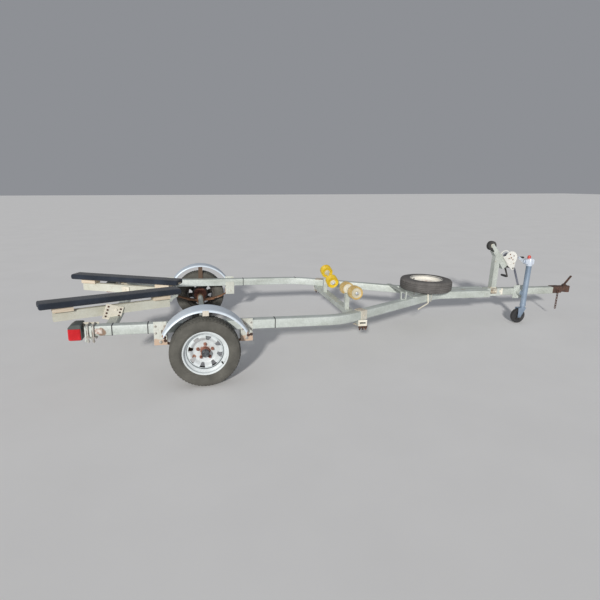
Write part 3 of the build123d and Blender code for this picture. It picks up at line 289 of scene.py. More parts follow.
class Paint:
    """A material being put together. A value is a number, a colour or the output of another node."""

    def __init__(self, name):
        self.material = bpy.data.materials.new(name)
        self.material.use_nodes = True
        self.nodes = self.material.node_tree.nodes
        self.shader = self.nodes["Principled BSDF"]
        self.coords = self.nodes.new("ShaderNodeTexCoord").outputs

    def put(self, socket, value):
        if isinstance(value, bpy.types.NodeSocket):
            self.material.node_tree.links.new(value, socket)
        elif isinstance(value, tuple) and socket.type == "RGBA":
            socket.default_value = (*value, 1)
        else:
            socket.default_value = value

    def add(self, kind, output, values, **settings):
        node = self.nodes.new("ShaderNode" + kind)
        for setting, value in settings.items():
            setattr(node, setting, value)
        for socket, value in values.items():
            self.put(node.inputs[socket], value)
        return node.outputs[output]

    def noise(self, scale, detail, roughness=0.55, stretch=(1, 1, 1)):
        place = self.add("Mapping", "Vector", {"Vector": self.coords["Object"], "Scale": stretch})
        values = {"Vector": place, "Scale": scale, "Detail": detail, "Roughness": roughness}
        return self.add("TexNoise", "Fac", values)

    def ramp(self, value, stops):
        node = self.nodes.new("ShaderNodeValToRGB")
        elements = node.color_ramp.elements
        while len(elements) < len(stops):
            elements.new(0.5)
        for element, (position, colour) in zip(elements, stops):
            element.position = position
            element.color = (*colour, 1)
        self.put(node.inputs["Fac"], value)
        return node.outputs["Color"]

    def tones(self, value, dark, middle, light):
        return self.ramp(value, ((0.3, dark), (0.5, middle), (0.7, light)))

    def grey(self, value, low, high, start=0.3, stop=0.7):
        return self.ramp(value, ((start, (low, low, low)), (stop, (high, high, high))))

    def mix(self, share, first, second, way="MIX"):
        return self.add("Mix", 2, {0: share, 6: first, 7: second}, data_type="RGBA", blend_type=way)

    def mottle(self, share, colour, value, low, high):
        return self.mix(share, colour, self.grey(value, low, high), "MULTIPLY")

    def work_out(self, operation, first, second):
        return self.add("Math", 0, {0: first, 1: second}, operation=operation)

    def finish(self, colour, roughness, height=None, strength=0.0, distance=0.001, constants=()):
        """Join colour, roughness and bump to the shader and set its constants."""
        self.put(self.shader.inputs["Base Color"], colour)
        self.put(self.shader.inputs["Roughness"], roughness)
        for socket, value in constants:
            self.shader.inputs[socket].default_value = value
        if height is not None:
            values = {"Strength": strength, "Distance": distance, "Height": height}
            self.put(self.shader.inputs["Normal"], self.add("Bump", "Normal", values))
        return self.material


def weathered(name, tones, metallic, rough, grime=None, bump=0.15, patch=4.0, spangle=0.0, bump_scale=90.0,
              coat=0.0, stretch=(1, 1, 1), near=(), near_tone=None, inward=0):
    """Paint or metal with broad patches, fine mottling, an optional crystal pattern and grime or rust spots.

    grime holds its tone, the noise it starts from and its scale. near holds spheres (x, y, z, radius) in
    metres, inside which near_tone shows through. inward is 1 or -1 for the side whose faces toward the middle
    of the trailer are darkened by painted shade and dirt.
    """
    paint = Paint(name)
    patches = paint.noise(patch, 5.0, 0.6, stretch)
    fine = paint.noise(bump_scale, 3.0)
    colour = paint.mottle(0.35, paint.tones(patches, *tones), fine, 0.82, 1.12)
    if spangle:
        cells = paint.add("TexVoronoi", "Color", {"Vector": paint.coords["Object"], "Scale": 75.0})
        shade = paint.add("SeparateColor", "Red", {"Color": cells})
        colour = paint.mix(spangle, colour, paint.grey(shade, 0.78, 1.15, 0.0, 1.0), "MULTIPLY")
    if grime:
        tone, start, scale = grime
        mask = paint.grey(paint.noise(scale, 8.0, 0.65), 0.0, 1.0, start, min(1.0, start + 0.1))
        colour = paint.mix(mask, colour, tone)
    if near:
        nearest = None
        for x, y, z, radius in near:
            values = {0: paint.coords["Object"], 1: (x, y, z)}
            gap = paint.add("VectorMath", "Value", values, operation="DISTANCE")
            share = paint.work_out("DIVIDE", gap, radius)
            nearest = share if nearest is None else paint.work_out("MINIMUM", nearest, share)
        ragged = paint.work_out("ADD", nearest, paint.noise(45.0, 6.0, 0.7))
        mask = paint.grey(paint.work_out("MULTIPLY", ragged, 0.66), 1.0, 0.0, 0.86, 1.0)
        colour = paint.mix(mask, colour, near_tone)
    # Faces toward the middle of the trailer turn dark: painted shade, with some dirt
    if inward:
        way = paint.add("SeparateXYZ", "Y", {0: paint.coords["Normal"]})
        facing = paint.work_out("MULTIPLY", way, -inward)
        colour = paint.mix(paint.grey(facing, 0.0, 1.0, 0.1, 0.4), colour, INWARD_SHADE_AND_DIRT)
    constants = (("Metallic", metallic), ("Coat Weight", coat))
    return paint.finish(colour, paint.grey(patches, *rough), fine, bump, constants=constants)


# Each call gives the name, the dark, middle and light tones, metallic, the roughness from and to,
# the grime's tone, start and scale, the bump and the scale of the patches
galvanised = weathered(
    "galvanised_steel", ((0.44, 0.47, 0.43), (0.56, 0.60, 0.56), (0.66, 0.70, 0.67)), 0.2, (0.42, 0.62),
    ((0.36, 0.31, 0.23), 0.64, 9), 0.1, spangle=0.4)
stained = weathered(
    "stained_galvanised", ((0.44, 0.36, 0.27), (0.62, 0.57, 0.47), (0.72, 0.70, 0.62)), 0.1, (0.5, 0.7),
    (RUST, 0.57, 20), 0.2, 9, spangle=0.2)
rusty = weathered(
    "rusted_steel", ((0.13, 0.075, 0.05), (0.24, 0.12, 0.065), (0.34, 0.20, 0.12)), 0.0, (0.75, 0.95),
    ((0.42, 0.36, 0.30), 0.60, 22), 0.6, 18)
plated = weathered(
    "plated_steel", ((0.58, 0.61, 0.64), (0.68, 0.71, 0.74), (0.76, 0.79, 0.82)), 0.35, (0.35, 0.52),
    ((0.42, 0.38, 0.33), 0.68, 20), 0.1)
# Bluish zinc plating, made darker than bare plating as painted shade
shaded_jack_metal = weathered(
    "shaded_jack_plating", ((0.20, 0.27, 0.36), (0.28, 0.36, 0.47), (0.38, 0.47, 0.58)), 0.4, (0.3, 0.45),
    ((0.30, 0.27, 0.25), 0.66, 24), 0.08)
winch_metal = weathered(
    "winch_zinc", ((0.70, 0.70, 0.66), (0.80, 0.80, 0.76), (0.86, 0.86, 0.83)), 0.1, (0.4, 0.55),
    ((0.45, 0.36, 0.26), 0.70, 26), 0.08)
cream_plate = weathered(
    "cream_plate", ((0.66, 0.61, 0.50), (0.80, 0.76, 0.65), (0.88, 0.85, 0.76)), 0.0, (0.5, 0.7),
    ((0.40, 0.22, 0.13), 0.64, 18), 0.15, 9)
dark_rust = weathered(
    "dark_rust", ((0.035, 0.028, 0.027), (0.09, 0.05, 0.038), (0.17, 0.085, 0.06)), 0.0, (0.75, 0.95),
    ((0.36, 0.20, 0.14), 0.60, 30), 0.6, 26)
beam_paint = weathered(
    "weathered_beam", ((0.52, 0.515, 0.42), (0.61, 0.615, 0.535), (0.67, 0.69, 0.62)), 0.0, (0.55, 0.75),
    ((0.42, 0.34, 0.25), 0.66, 10), 0.2)
dark_steel = weathered(
    "dark_crank_steel", ((0.05, 0.045, 0.045), (0.09, 0.085, 0.08), (0.13, 0.12, 0.11)), 0.3, (0.4, 0.6),
    ((0.20, 0.12, 0.08), 0.66, 20), 0.1)
black_plastic = weathered(
    "black_plastic", ((0.025, 0.025, 0.027), (0.04, 0.04, 0.042), (0.06, 0.06, 0.06)), 0.0, (0.45, 0.65),
    ((0.16, 0.14, 0.12), 0.70, 9), 0.1)
black_rubber = weathered(
    "black_rubber", ((0.022, 0.022, 0.024), (0.04, 0.04, 0.04), (0.07, 0.068, 0.065)), 0.0, (0.6, 0.8),
    ((0.18, 0.16, 0.13), 0.68, 9), 0.25)
roller_hub = weathered(
    "pale_roller_hub", ((0.50, 0.46, 0.34), (0.66, 0.62, 0.49), (0.76, 0.73, 0.62)), 0.0, (0.4, 0.6),
    ((0.40, 0.33, 0.22), 0.66, 30))
# Near-black paint for the back of each rim's barrel: painted shade inside the wheel, seen through the
# windows, with brown grime spots
shaded_barrel = weathered(
    "painted_shade_barrel", ((0.035, 0.033, 0.032), (0.06, 0.055, 0.05), (0.10, 0.09, 0.08)), 0.0, (0.7, 0.9),
    ((0.20, 0.12, 0.08), 0.64, 18), 0.2, 12)
hub_rust = weathered(
    "rusty_hub", ((0.17, 0.07, 0.05), (0.30, 0.12, 0.085), (0.40, 0.20, 0.15)), 0.0, (0.7, 0.9),
    ((0.10, 0.08, 0.07), 0.62, 30), 0.5, 22)
cap_metal = weathered(
    "bearing_cap", ((0.04, 0.045, 0.05), (0.09, 0.10, 0.11), (0.20, 0.22, 0.24)), 0.4, (0.35, 0.55),
    ((0.08, 0.06, 0.05), 0.60, 30), 0.1, 25)
webbing = weathered(
    "strap_webbing", ((0.09, 0.10, 0.13), (0.15, 0.16, 0.20), (0.24, 0.25, 0.28)), 0.0, (0.85, 0.95),
    ((0.20, 0.17, 0.15), 0.62, 30), 0.5, bump_scale=300.0)
red_plastic = weathered(
    "red_cap", ((0.50, 0.05, 0.04), (0.66, 0.09, 0.07), (0.74, 0.20, 0.16)), 0.0, (0.35, 0.5),
    ((0.35, 0.22, 0.18), 0.68, 9), 0.08, 30)
# Plating whose blue-white tone is partly painted reflection of the sky
bright_plating = weathered(
    "bright_plating", ((0.60, 0.68, 0.80), (0.72, 0.79, 0.90), (0.82, 0.88, 0.95)), 0.3, (0.25, 0.4),
    ((0.45, 0.45, 0.46), 0.70, 24), 0.05)
red_lens = weathered(
    "red_lamp_lens", ((0.50, 0.004, 0.010), (0.62, 0.008, 0.016), (0.72, 0.018, 0.030)), 0.0, (0.3, 0.42),
    ((0.30, 0.03, 0.03), 0.72, 9), 0.05, 12)
lamp_grey = weathered(
    "lamp_housing", ((0.060, 0.070, 0.068), (0.085, 0.098, 0.096), (0.12, 0.13, 0.125)), 0.0, (0.45, 0.6),
    ((0.20, 0.18, 0.15), 0.68, 9), 0.08)
faded_marker = weathered(
    "faded_marker", ((0.40, 0.20, 0.14), (0.62, 0.54, 0.48), (0.74, 0.72, 0.68)), 0.0, (0.4, 0.6),
    ((0.34, 0.08, 0.05), 0.55, 40), 0.15, 26)
hardware = weathered(
    "zinc_hardware", ((0.36, 0.33, 0.29), (0.50, 0.48, 0.44), (0.60, 0.60, 0.56)), 0.3, (0.4, 0.6),
    (RUST, 0.60, 40), 0.25, 24)


def tyre_material(name, *tones):
    paint = Paint(name)
    dust = paint.noise(60.0, 6.0, 0.7)
    colour = paint.mottle(0.45, paint.tones(paint.noise(7.0, 6.0, 0.62), *tones), dust, 0.7, 1.25)
    return paint.finish(colour, paint.grey(dust, 0.72, 0.95), paint.noise(260.0, 3.0), 0.25)


def carpet_material():
    paint = Paint("worn_carpet")
    patches = paint.noise(5.0, 5.0, 0.6)
    colour = paint.tones(patches, (0.008, 0.013, 0.023), (0.013, 0.020, 0.034), (0.024, 0.034, 0.055))
    tufts = paint.noise(420.0, 2.0, 0.8)
    worn = paint.grey(paint.noise(26.0, 6.0, 0.75, (0.3, 1, 1)), 0.0, 0.55, 0.60, 0.74)
    colour = paint.mix(worn, paint.mottle(0.6, colour, tufts, 0.55, 1.6), (0.055, 0.062, 0.075))
    constants = (("Sheen Weight", 0.12), ("Sheen Roughness", 0.6))
    return paint.finish(colour, 0.95, tufts, 0.8, 0.002, constants)


def wood_material():
    paint = Paint("raw_timber")
    grain = paint.noise(14.0, 6.0, 0.65, (0.25, 1.0, 9.0))
    colour = paint.tones(grain, (0.56, 0.44, 0.31), (0.70, 0.60, 0.47), (0.80, 0.73, 0.61))
    fine = paint.noise(60.0, 4.0, 0.7, (0.2, 1.0, 12.0))
    return paint.finish(paint.mottle(0.4, colour, fine, 0.75, 1.15), 0.8, fine, 0.35)


def amber_material(name, glow, *tones):
    paint = Paint(name)
    patches = paint.noise(11.0, 5.0, 0.6)
    constants = (("Subsurface Weight", glow), ("Subsurface Radius", (0.01, 0.005, 0.002)))
    colour, roughness = paint.tones(patches, *tones), paint.grey(patches, 0.32, 0.55)
    return paint.finish(colour, roughness, paint.noise(120.0, 3.0), 0.12, constants=constants)


tyre_rubber = tyre_material("dusty_tyre", (0.068, 0.066, 0.058), (0.102, 0.099, 0.087), (0.14, 0.136, 0.12))
spare_rubber = tyre_material(
    "sun_faded_tyre", (0.085, 0.080, 0.077), (0.125, 0.119, 0.115), (0.165, 0.157, 0.152))
carpet = carpet_material()
timber = wood_material()
amber = amber_material("amber_roller", 0.12, (0.60, 0.38, 0.015), (0.76, 0.52, 0.02), (0.84, 0.64, 0.05))
dusty_amber = amber_material(
    "dusty_amber_roller", 0.1, (0.46, 0.31, 0.10), (0.59, 0.43, 0.17), (0.68, 0.54, 0.28))


# Materials of the CAD pieces that keep their own shape

def cover(material, *names):
    for name in names:
        data = nodes[name].data
        data.materials.clear()
        data.materials.append(material)


# Columns: x, z and reach of a rusty place on a rail's outer face
RAIL_RUST = (
    (-850, 425, 0.022), (-818, 405, 0.026), (-745, 425, 0.034), (-320, 415, 0.03), (1285, 415, 0.03),
)
rail_spots, foot_spots, tab_spots = [], [], []
for x, z, reach in RAIL_RUST:
    rail_spots += [spot(x, sign * RAIL_OUT_Y, z, reach) for sign in (-1, 1)]
for side, sign in SIDES:
    for end in (-1, 1):
        foot_spots += [spot(end * HANGER_X + x, sign * 843, 308, 0.046) for x in (-30, 26)]
        tab_spots.append(spot(end * 284, sign * 866, 392, 0.075))
    tab_spots.append(spot(7, sign * 846, 530, 0.13))
rail_metal = weathered(
    "galvanised_rail", ((0.46, 0.50, 0.46), (0.58, 0.63, 0.60), (0.68, 0.73, 0.72)), 0.2, (0.42, 0.62),
    ((0.42, 0.37, 0.29), 0.66, 9), 0.08, spangle=0.35, stretch=(0.5, 1, 1.6),
    near=rail_spots, near_tone=(0.30, 0.21, 0.15))
hanger_metal = weathered(
    "hanger_metal", ((0.50, 0.50, 0.44), (0.62, 0.64, 0.58), (0.70, 0.73, 0.69)), 0.15, (0.45, 0.65),
    ((0.40, 0.30, 0.21), 0.60, 18), 0.2, spangle=0.3, near=foot_spots, near_tone=(0.60, 0.45, 0.34))
bracket_metal = weathered(
    "bracket_metal", ((0.46, 0.38, 0.29), (0.66, 0.61, 0.52), (0.74, 0.72, 0.66)), 0.1, (0.5, 0.7),
    (RUST, 0.60, 20), 0.2, 9, near=tab_spots, near_tone=(0.12, 0.075, 0.05))
cover(galvanised, "axle_beam", "spare_carrier", "roller_stands", "neck_plates", "winch_post", "winch_arm",
      "jack_bracket")
cover(stained, "frame_clamps")
cover(cream_plate, *both("bunk_plates"))
cover(bracket_metal, *both("fender_brackets"))
cover(hanger_metal, *both("spring_hangers"))
cover(rusty, *both("spring"), "axle_clamps")
cover(dark_rust, "coupler", "coupler_latch", "safety_chain")
cover(plated, *both("roller_rocker"))
cover(shaded_jack_metal, "jack_tube", "jack_leg", "jack_fork")
cover(winch_metal, "winch_frame")
cover(beam_paint, *both("bunk_beam"))
cover(timber, *both("bunk_blocks"))


# Tyres: a closed ring with grooves and cross cuts in the tread

TREAD_BLOCKS = 64
GROOVES = (0.72, 0.27)
GROOVE_HALF = 3.4
GROOVE_DEPTH = 6.0
SHOULDER_CUT = 4.5
INNER_CUT = 2.4


def tyre_piece(name, node, centre, axis, sizes, body, material):
    """Tyre from its radius, width, seat and flange radii and half the width of its rim."""
    radius, width, seat, flange, rim_half = sizes
    bead = rim_half - 12
    bulge = width / 2 - 0.5
    shoulder = bulge - 13
    half = shoulder - 9
    widest = seat + 0.48 * (radius - seat)
    side = []
    for share in (0.0, 0.12, 0.25, 0.4, 0.55, 0.7, 0.85, 1.0):
        r = flange + 5 + (radius - 18 - flange) * share
        lean = 1 - abs((r - widest) / (radius - widest)) ** 2.2
        ridge = 0.8 if 0.1 < share < 0.2 or 0.66 < share < 0.75 else 0.0
        foot = bead + 5 if r < widest else shoulder
        side.append((r, foot + (bulge - foot) * max(0.0, lean) + ridge))
    tread = [(radius - 9, shoulder - 1.5), (radius - 5, shoulder - 5), (radius - 2.5, half)]
    crown = []
    foot = GROOVE_HALF - 1.1
    for groove in GROOVES:
        offsets = ((GROOVE_HALF, 0), (foot, GROOVE_DEPTH), (-foot, GROOVE_DEPTH), (-GROOVE_HALF, 0))
        for offset, depth in offsets:
            t = half * groove + offset
            crown.append((radius - 0.5 - 2.0 * (t / half) ** 2 - depth, t))
    crown.append((radius - 0.5, 0.0))
    upper = [(seat + 0.5, bead)] + side + tread + crown
    inner = [(radius - 12, 0.0), (radius - 15, shoulder - 18), (widest, bulge - 11), (flange - 2, bead - 8),
             (seat + 0.5, bead - 11)]
    profile = upper + mirrored(upper[:-1]) + mirrored(inner[1:]) + inner
    block_from = 1 + len(side)
    block_to = len(upper) + len(crown) + len(tread) - 2
    axis = Vector(axis)
    first, second = frame_of(axis)
    steps = TREAD_BLOCKS * 4
    rings = []
    for step in range(steps):
        ring = []
        for index, (r, t) in enumerate(profile):
            share = abs(t) / half
            depth = 0.0
            if block_from <= index <= block_to:
                if share > GROOVES[0] + 3 / half and step % 4 == 0:
                    depth = SHOULDER_CUT
                elif GROOVES[1] < share < GROOVES[0] and step % 8 == 4:
                    depth = INNER_CUT
            angle = 2 * pi * (step / steps + 0.35 * t / (half + 9) / TREAD_BLOCKS)
            way = first * cos(angle) + second * sin(angle)
            ring.append(Vector(centre) + way * (r - depth) + axis * t)
        rings.append(ring)
    mesh = bmesh.new()
    add_loops(mesh, rings, close_ends=True)
    finish_mesh(name, mesh, material, body, replaces=(node,))


TYRE_SIZES = (269.8, 168.0, 165.0, 184.5, 70.0)
SPARE_TYRE_SIZES = (271.8, 124.0, 153.0, 171.0, 58.0)
SPARE_X, SPARE_Z = 2360.0, 541.0
SPARE = (SPARE_X, 0, SPARE_Z)
for side, sign in SIDES:
    tyre_piece("road_tyre_" + side, "tyre_" + side, (0, sign * WHEEL_Y, AXLE_Z), (0, sign, 0), TYRE_SIZES,
               "wheel_" + side, tyre_rubber)
tyre_piece("spare_road_tyre", "spare_tyre", SPARE, UP, SPARE_TYRE_SIZES, "frame", spare_rubber)


# Rims: rolled flanges, a drop centre and a disc with windows

SHEET_T = 3.6
DISC_T = 4.6
LUGS = 5
LUG_CIRCLE_R = 57.15
ROAD_BARREL = (71.0, 187.0, 165.0, 143.0)
SPARE_BARREL = (56.0, 171.0, 153.0, 134.0)
ROAD_WINDOW = (90.0, 128.0, 9.0, 23.0)
SPARE_WINDOW = (50.0, 64.0, 6.3, 6.3)
ROAD_ACROSS = (cos(radians(10.5)), 0, sin(radians(10.5)))
HALF_LUG = pi / LUGS
SPARE_ACROSS = (cos(HALF_LUG), -sin(HALF_LUG), 0)
ROAD_DISC = [(34.6, 3.5), (46, 3.0), (66, 3.0), (86, 4.5), (95, 10), (104, 19), (112, 26.5), (119, 29.5),
             (126, 28.5), (132, 24), (137, 18), (140, 14)]
SPARE_DISC = [(34.6, 2.5), (50, 2.5), (64, 2.5), (80, 4.0), (92, 11), (104, 18.0), (114, 18.5), (123, 14),
              (131, 10)]


def smooth_profile(points, steps):
    """Curve through radius, offset points."""
    result = []
    for index in range(len(points) - 1):
        around = [points[min(max(index + shift, 0), len(points) - 1)] for shift in (-1, 0, 1, 2)]
        for share in [step / steps for step in range(steps)]:
            result.append(tuple(
                b + 0.5 * ((c - a) * share + (2 * a - 5 * b + 4 * c - d) * share ** 2
                           + (3 * b - a - 3 * c + d) * share ** 3)
                for a, b, c, d in zip(*around)))
    result.append(points[-1])
    return result


def thick(profile, thickness):
    """Closed outline of a bent sheet from its middle line."""
    left, right = [], []
    for index, point in enumerate(profile):
        before = Vector(profile[max(index - 1, 0)])
        after = Vector(profile[min(index + 1, len(profile) - 1)])
        way = (after - before).normalized()
        normal = Vector((-way.y, way.x)) * thickness / 2
        left.append(tuple(Vector(point) + normal))
        right.append(tuple(Vector(point) - normal))
    return left + right[::-1]


def barrel_profile(half, flange, seat, well, part="whole"):
    """Outline of a rim's barrel, or of its front or back part, from half its width and its radii."""
    outside = [(flange - 3, half + 2), (flange - 0.5, half - 1.5), (flange - 1.5, half - 6),
               (seat - 1, half - 10), (seat - 2, half - 30), (well + 2, half - 42), (well, half - 50)]
    inside = [(well, 46 - half), (well + 2, 38 - half), (seat - 2, 28 - half)] + mirrored(outside[:4])
    points = {"whole": outside + inside, "front": outside, "back": outside[-1:] + inside}[part]
    return thick(smooth_profile(points, 3), SHEET_T)


def disc_mesh(mesh, centre, axis, profile, windows, window, across):
    """Pressed disc with windows, as a closed sheet. window holds two radii and the half width at each."""
    axis = Vector(axis)
    first, second = frame_of(axis, across)
    low, high, narrow, wide = window
    edge = 0.42
    spread = [-1.0, -0.8, -0.6, -edge, -0.28, -0.14, 0.0, 0.14, 0.28, edge, 0.6, 0.8]
    sector = pi / windows
    grid = []
    for r, t in profile:
        share = min(max((r - low) / (high - low), 0), 1)
        half_angle = (narrow + (wide - narrow) * share) / r
        row = []
        for count in range(windows):
            for u in spread:
                if abs(u) <= edge:
                    angle = half_angle * u / edge
                else:
                    rest = (abs(u) - edge) / (1 - edge)
                    angle = copysign(half_angle + rest * (sector - half_angle), u)
                angle += 2 * sector * (count + 0.5)
                row.append(Vector(centre) + (first * cos(angle) + second * sin(angle)) * r + axis * t)
        grid.append(row)
    columns = len(grid[0])
    front, back = [], []
    for sheet, shift in ((front, DISC_T / 2), (back, -DISC_T / 2)):
        sheet += [[mesh.verts.new(p + axis * shift) for p in row] for row in grid]

    def is_hole(row, column):
        u = spread[column % len(spread)]
        after = spread[(column + 1) % len(spread)]
        inside = -edge - 0.01 <= u < edge - 0.01 and after <= edge + 0.01
        return inside and low < (profile[row][0] + profile[row + 1][0]) / 2 < high

    def wall(start, stop):
        (a, b), (c, d) = start, stop
        mesh.faces.new((front[a][b], front[c][d], back[c][d], back[a][b]))

    for row in range(len(grid) - 1):
        below = row + 1
        for column in range(columns):
            after = (column + 1) % columns
            if is_hole(row, column):
                continue
            mesh.faces.new((front[row][column], front[row][after], front[below][after], front[below][column]))
            mesh.faces.new((back[row][column], back[below][column], back[below][after], back[row][after]))
            if is_hole(row, (column - 1) % columns):
                wall((row, column), (below, column))
            if is_hole(row, after):
                wall((row, after), (below, after))
            for beside, edge_row in ((row - 1, row), (below, below)):
                if beside < 0 or beside >= len(grid) - 1 or is_hole(beside, column):
                    wall((edge_row, column), (edge_row, after))


# Columns: forward, up and outward from the wheel's middle, and the reach of a rusty place
WHEEL_RUST = [(0, 0, 0, 0.046), (98, 62, 16, 0.020), (-88, -40, 8, 0.020)]


def valve(length, foot, collar, neck, tip):
    """Profile of a rubber valve stem from its length and radii."""
    return [(0, 0), (foot, 0), (collar, 10), (neck, 16), (neck, length - 6), (tip, length), (0, length)]


def lug(count):
    """Place of a wheel's stud, forward and up from the hub's axis."""
    angle = 2 * pi * count / LUGS + pi / 2
    return LUG_CIRCLE_R * cos(angle), LUG_CIRCLE_R * sin(angle)


def road_rim(side, sign):
    body = "wheel_" + side
    outward = (0, sign, 0)
    centre = (0, sign * WHEEL_Y, AXLE_Z)
    places = [(*lug(count), 5, 0.015) for count in range(LUGS)] + WHEEL_RUST
    spots = [spot(x, sign * (WHEEL_Y + y), AXLE_Z + z, reach) for x, z, y, reach in places]
    # Its faces toward the middle of the trailer are darkened by painted shade and dirt
    wheel_paint = weathered(
        "white_wheel_paint_" + side, ((0.56, 0.60, 0.61), (0.69, 0.74, 0.76), (0.77, 0.82, 0.85)), 0.0,
        (0.28, 0.42), ((0.46, 0.34, 0.26), 0.70, 14), 0.04, coat=0.2,
        near=spots, near_tone=(0.36, 0.19, 0.13), inward=sign)
    make("road_rim_" + side, wheel_paint, body,
         (lathe, barrel_profile(*ROAD_BARREL, "front"), centre, outward, 96, True),
         (disc_mesh, centre, outward, smooth_profile(ROAD_DISC, 2), 8, ROAD_WINDOW, ROAD_ACROSS),
         replaces=("rim_" + side,))
    # The back of the barrel carries the near-black painted shade
    make("rim_barrel_" + side, shaded_barrel, body,
         (lathe, barrel_profile(*ROAD_BARREL, "back"), centre, outward, 96, True))
    turn = radians(-35 if sign < 0 else 140)
    way = Vector((cos(turn) * 0.35, sign, sin(turn) * 0.35))
    place = (cos(turn) * 150, sign * (WHEEL_Y + 34), AXLE_Z + sin(turn) * 150)
    make("valve_stem_" + side, black_rubber, body, (lathe, valve(32, 6.5, 6, 4.2, 3.6), place, way, 14))


for side, sign in SIDES:
    road_rim(side, sign)


# Hubs: nuts, cast barrel and a pressed bearing protector, all on the CAD's own axis

HUB = [(17.4, -57), (31, -57), (34, -54), (34, -18), (40, -12), (70, -9.5), (71.8, -8), (71.8, -1), (70, 0),
       (34, 0), (34, 36), (33, 41.5), (17.4, 41.5)]
LUG_NUT = [(0, 0), (8, 0), (10.8, 4), (10.8, 17), (9.6, 19.2), (0, 19.2)]
STUD = [(0, 18), (5.8, 18), (5.8, 22), (4.8, 24), (0, 24)]
PROTECTOR = [(0, 40), (29.5, 40), (29.8, 42), (29.8, 54), (28.6, 55.5), (28.6, 60), (29.6, 61.5), (29.6, 70),
             (27, 76), (20, 80), (17, 79), (15, 76.5), (7, 76), (6, 80), (3.5, 81.8), (0, 82)]
for side, sign in SIDES:
    centre = Vector((0, sign * WHEEL_Y, AXLE_Z))
    outward = (0, sign, 0)
    shapes = [(lathe, HUB, centre, outward, 48, True)]
    for x, z in [lug(count) for count in range(LUGS)]:
        place = centre + Vector((x, sign * 5.4, z))
        shapes += [(lathe, LUG_NUT, place, outward, 6), (lathe, STUD, place, outward, 14)]
    make("road_hub_" + side, hub_rust, "wheel_" + side, *shapes, replaces=("hub_" + side,))
    make("bearing_protector_" + side, cap_metal, "wheel_" + side, (lathe, PROTECTOR, centre, outward, 40))


# Fenders: rolled zinc sheet, turned down inside and beaded outside

FENDER_X, FENDER_Z, FENDER_R = 7.0, 257.0, 360.0
FENDER_IN_Y, FENDER_OUT_Y = 847.2, 1026.6
FENDER_FROM, FENDER_TO = 28.2, 151.8
FENDER_STEPS = 64
LIP = 17.0


def fender_section():
    """Middle line of the sheet across a fender, as places outward and rises above its radius."""
    section = [(FENDER_IN_Y, -LIP)]
    quarter = [pi / 2 * step / 4 for step in range(5)]
    section += [(FENDER_IN_Y + 9 - 9 * cos(turn), -10.6 + 9 * sin(turn)) for turn in quarter]
    for share in (0.25, 0.5, 0.75):
        y = FENDER_IN_Y + (FENDER_OUT_Y - FENDER_IN_Y) * share
        section.append((y, -1.6 + 0.6 * sin(pi * share)))
    section += [(FENDER_OUT_Y - 13 + 13 * sin(turn), -14.6 + 13 * cos(turn)) for turn in quarter]
    section.append((FENDER_OUT_Y, -LIP + 4))
    for step in range(1, 8):
        turn = pi - 2 * pi * 0.72 * step / 7
        section.append((FENDER_OUT_Y - 1.0 - 1.6 * cos(turn), -LIP + 3.0 - 2.4 * sin(turn)))
    return thick(section, 1.6)


def fender_sheet(mesh, sign):
    rings = []
    for step in range(FENDER_STEPS + 1):
        angle = radians(FENDER_FROM + (FENDER_TO - FENDER_FROM) * step / FENDER_STEPS)
        ring = []
        for y, rise in fender_section():
            r = FENDER_R + rise
            ring.append((FENDER_X + r * cos(angle), sign * y, FENDER_Z + r * sin(angle)))
        rings.append(ring)
    add_loops(mesh, rings, cap="strip")


for side, sign in SIDES:
    spots = []
    for end in (-1, 1):
        spots.append(spot(FENDER_X + end * 318, sign * 862, 430, 0.055))
        spots.append(spot(FENDER_X + end * 318, sign * 1018, 428, 0.018))
    # Pale zinc whose blue tint is painted reflection of the sky
    zinc_fender = weathered(
        "zinc_fender_" + side, ((0.62, 0.71, 0.81), (0.72, 0.81, 0.91), (0.80, 0.88, 0.96)), 0.08,
        (0.28, 0.42), None, 0.05, 2.5, spangle=0.18, near=spots, near_tone=(0.40, 0.24, 0.15))
    make("wheel_fender_" + side, zinc_fender, "frame", (fender_sheet, sign), replaces=("fender_" + side,))


# Carpeted bunks: a plank with carpet stretched round it, its flaps tacked underneath

BUNK_MID = (-717.5, 377.5)
BUNK_HALF = 559.4
BUNK_TURN = radians(-22.325)
PLANK_FOOT, PLANK_TOP = 550.0, 600.0
PLANK_HALF = 73.0
CARPET_T = 3.4
CARPET_SINK = CARPET_T * 0.6
CARPET_FLAP = 36.0
CARPET_CURL = 14.0
TACK = [(0, 0), (4, 0), (3.2, 1.2), (0, 1.6)]


def in_bunk(sign, along, across, z):
    """Level millimetres of a place along and across a bunk."""
    x = BUNK_MID[0] + along * cos(BUNK_TURN) - across * sin(BUNK_TURN)
    y = BUNK_MID[1] + along * sin(BUNK_TURN) + across * cos(BUNK_TURN)
    return Vector((x, sign * y, z))


def carpet_section(inset, lift):
    """Middle line of the carpet round the plank, from one flap to the other."""
    half = PLANK_HALF - CARPET_SINK - inset
    rise = max((PLANK_TOP - PLANK_FOOT) / 2 - CARPET_SINK - inset, 1.0)
    middle = (PLANK_TOP + PLANK_FOOT) / 2
    corner = min(13.0, rise * 0.8)
    right = [(CARPET_FLAP, -rise), (half - corner, -rise)]
    for step in range(-3, 1):
        angle = pi / 8 * step
        right.append((half - corner + corner * cos(angle), -rise + corner + corner * sin(angle)))
    for step in range(5):
        angle = pi / 8 * step
        right.append((half - corner + corner * cos(angle), rise - corner + corner * sin(angle)))
    for share in (0.75, 0.5, 0.25):
        right.append(((half - corner) * share, rise + lift * (1 - share ** 2)))
    points = [(across, middle + z) for across, z in right]
    return points + [(0.0, middle + rise + lift)] + [(-across, z) for across, z in reversed(points)]


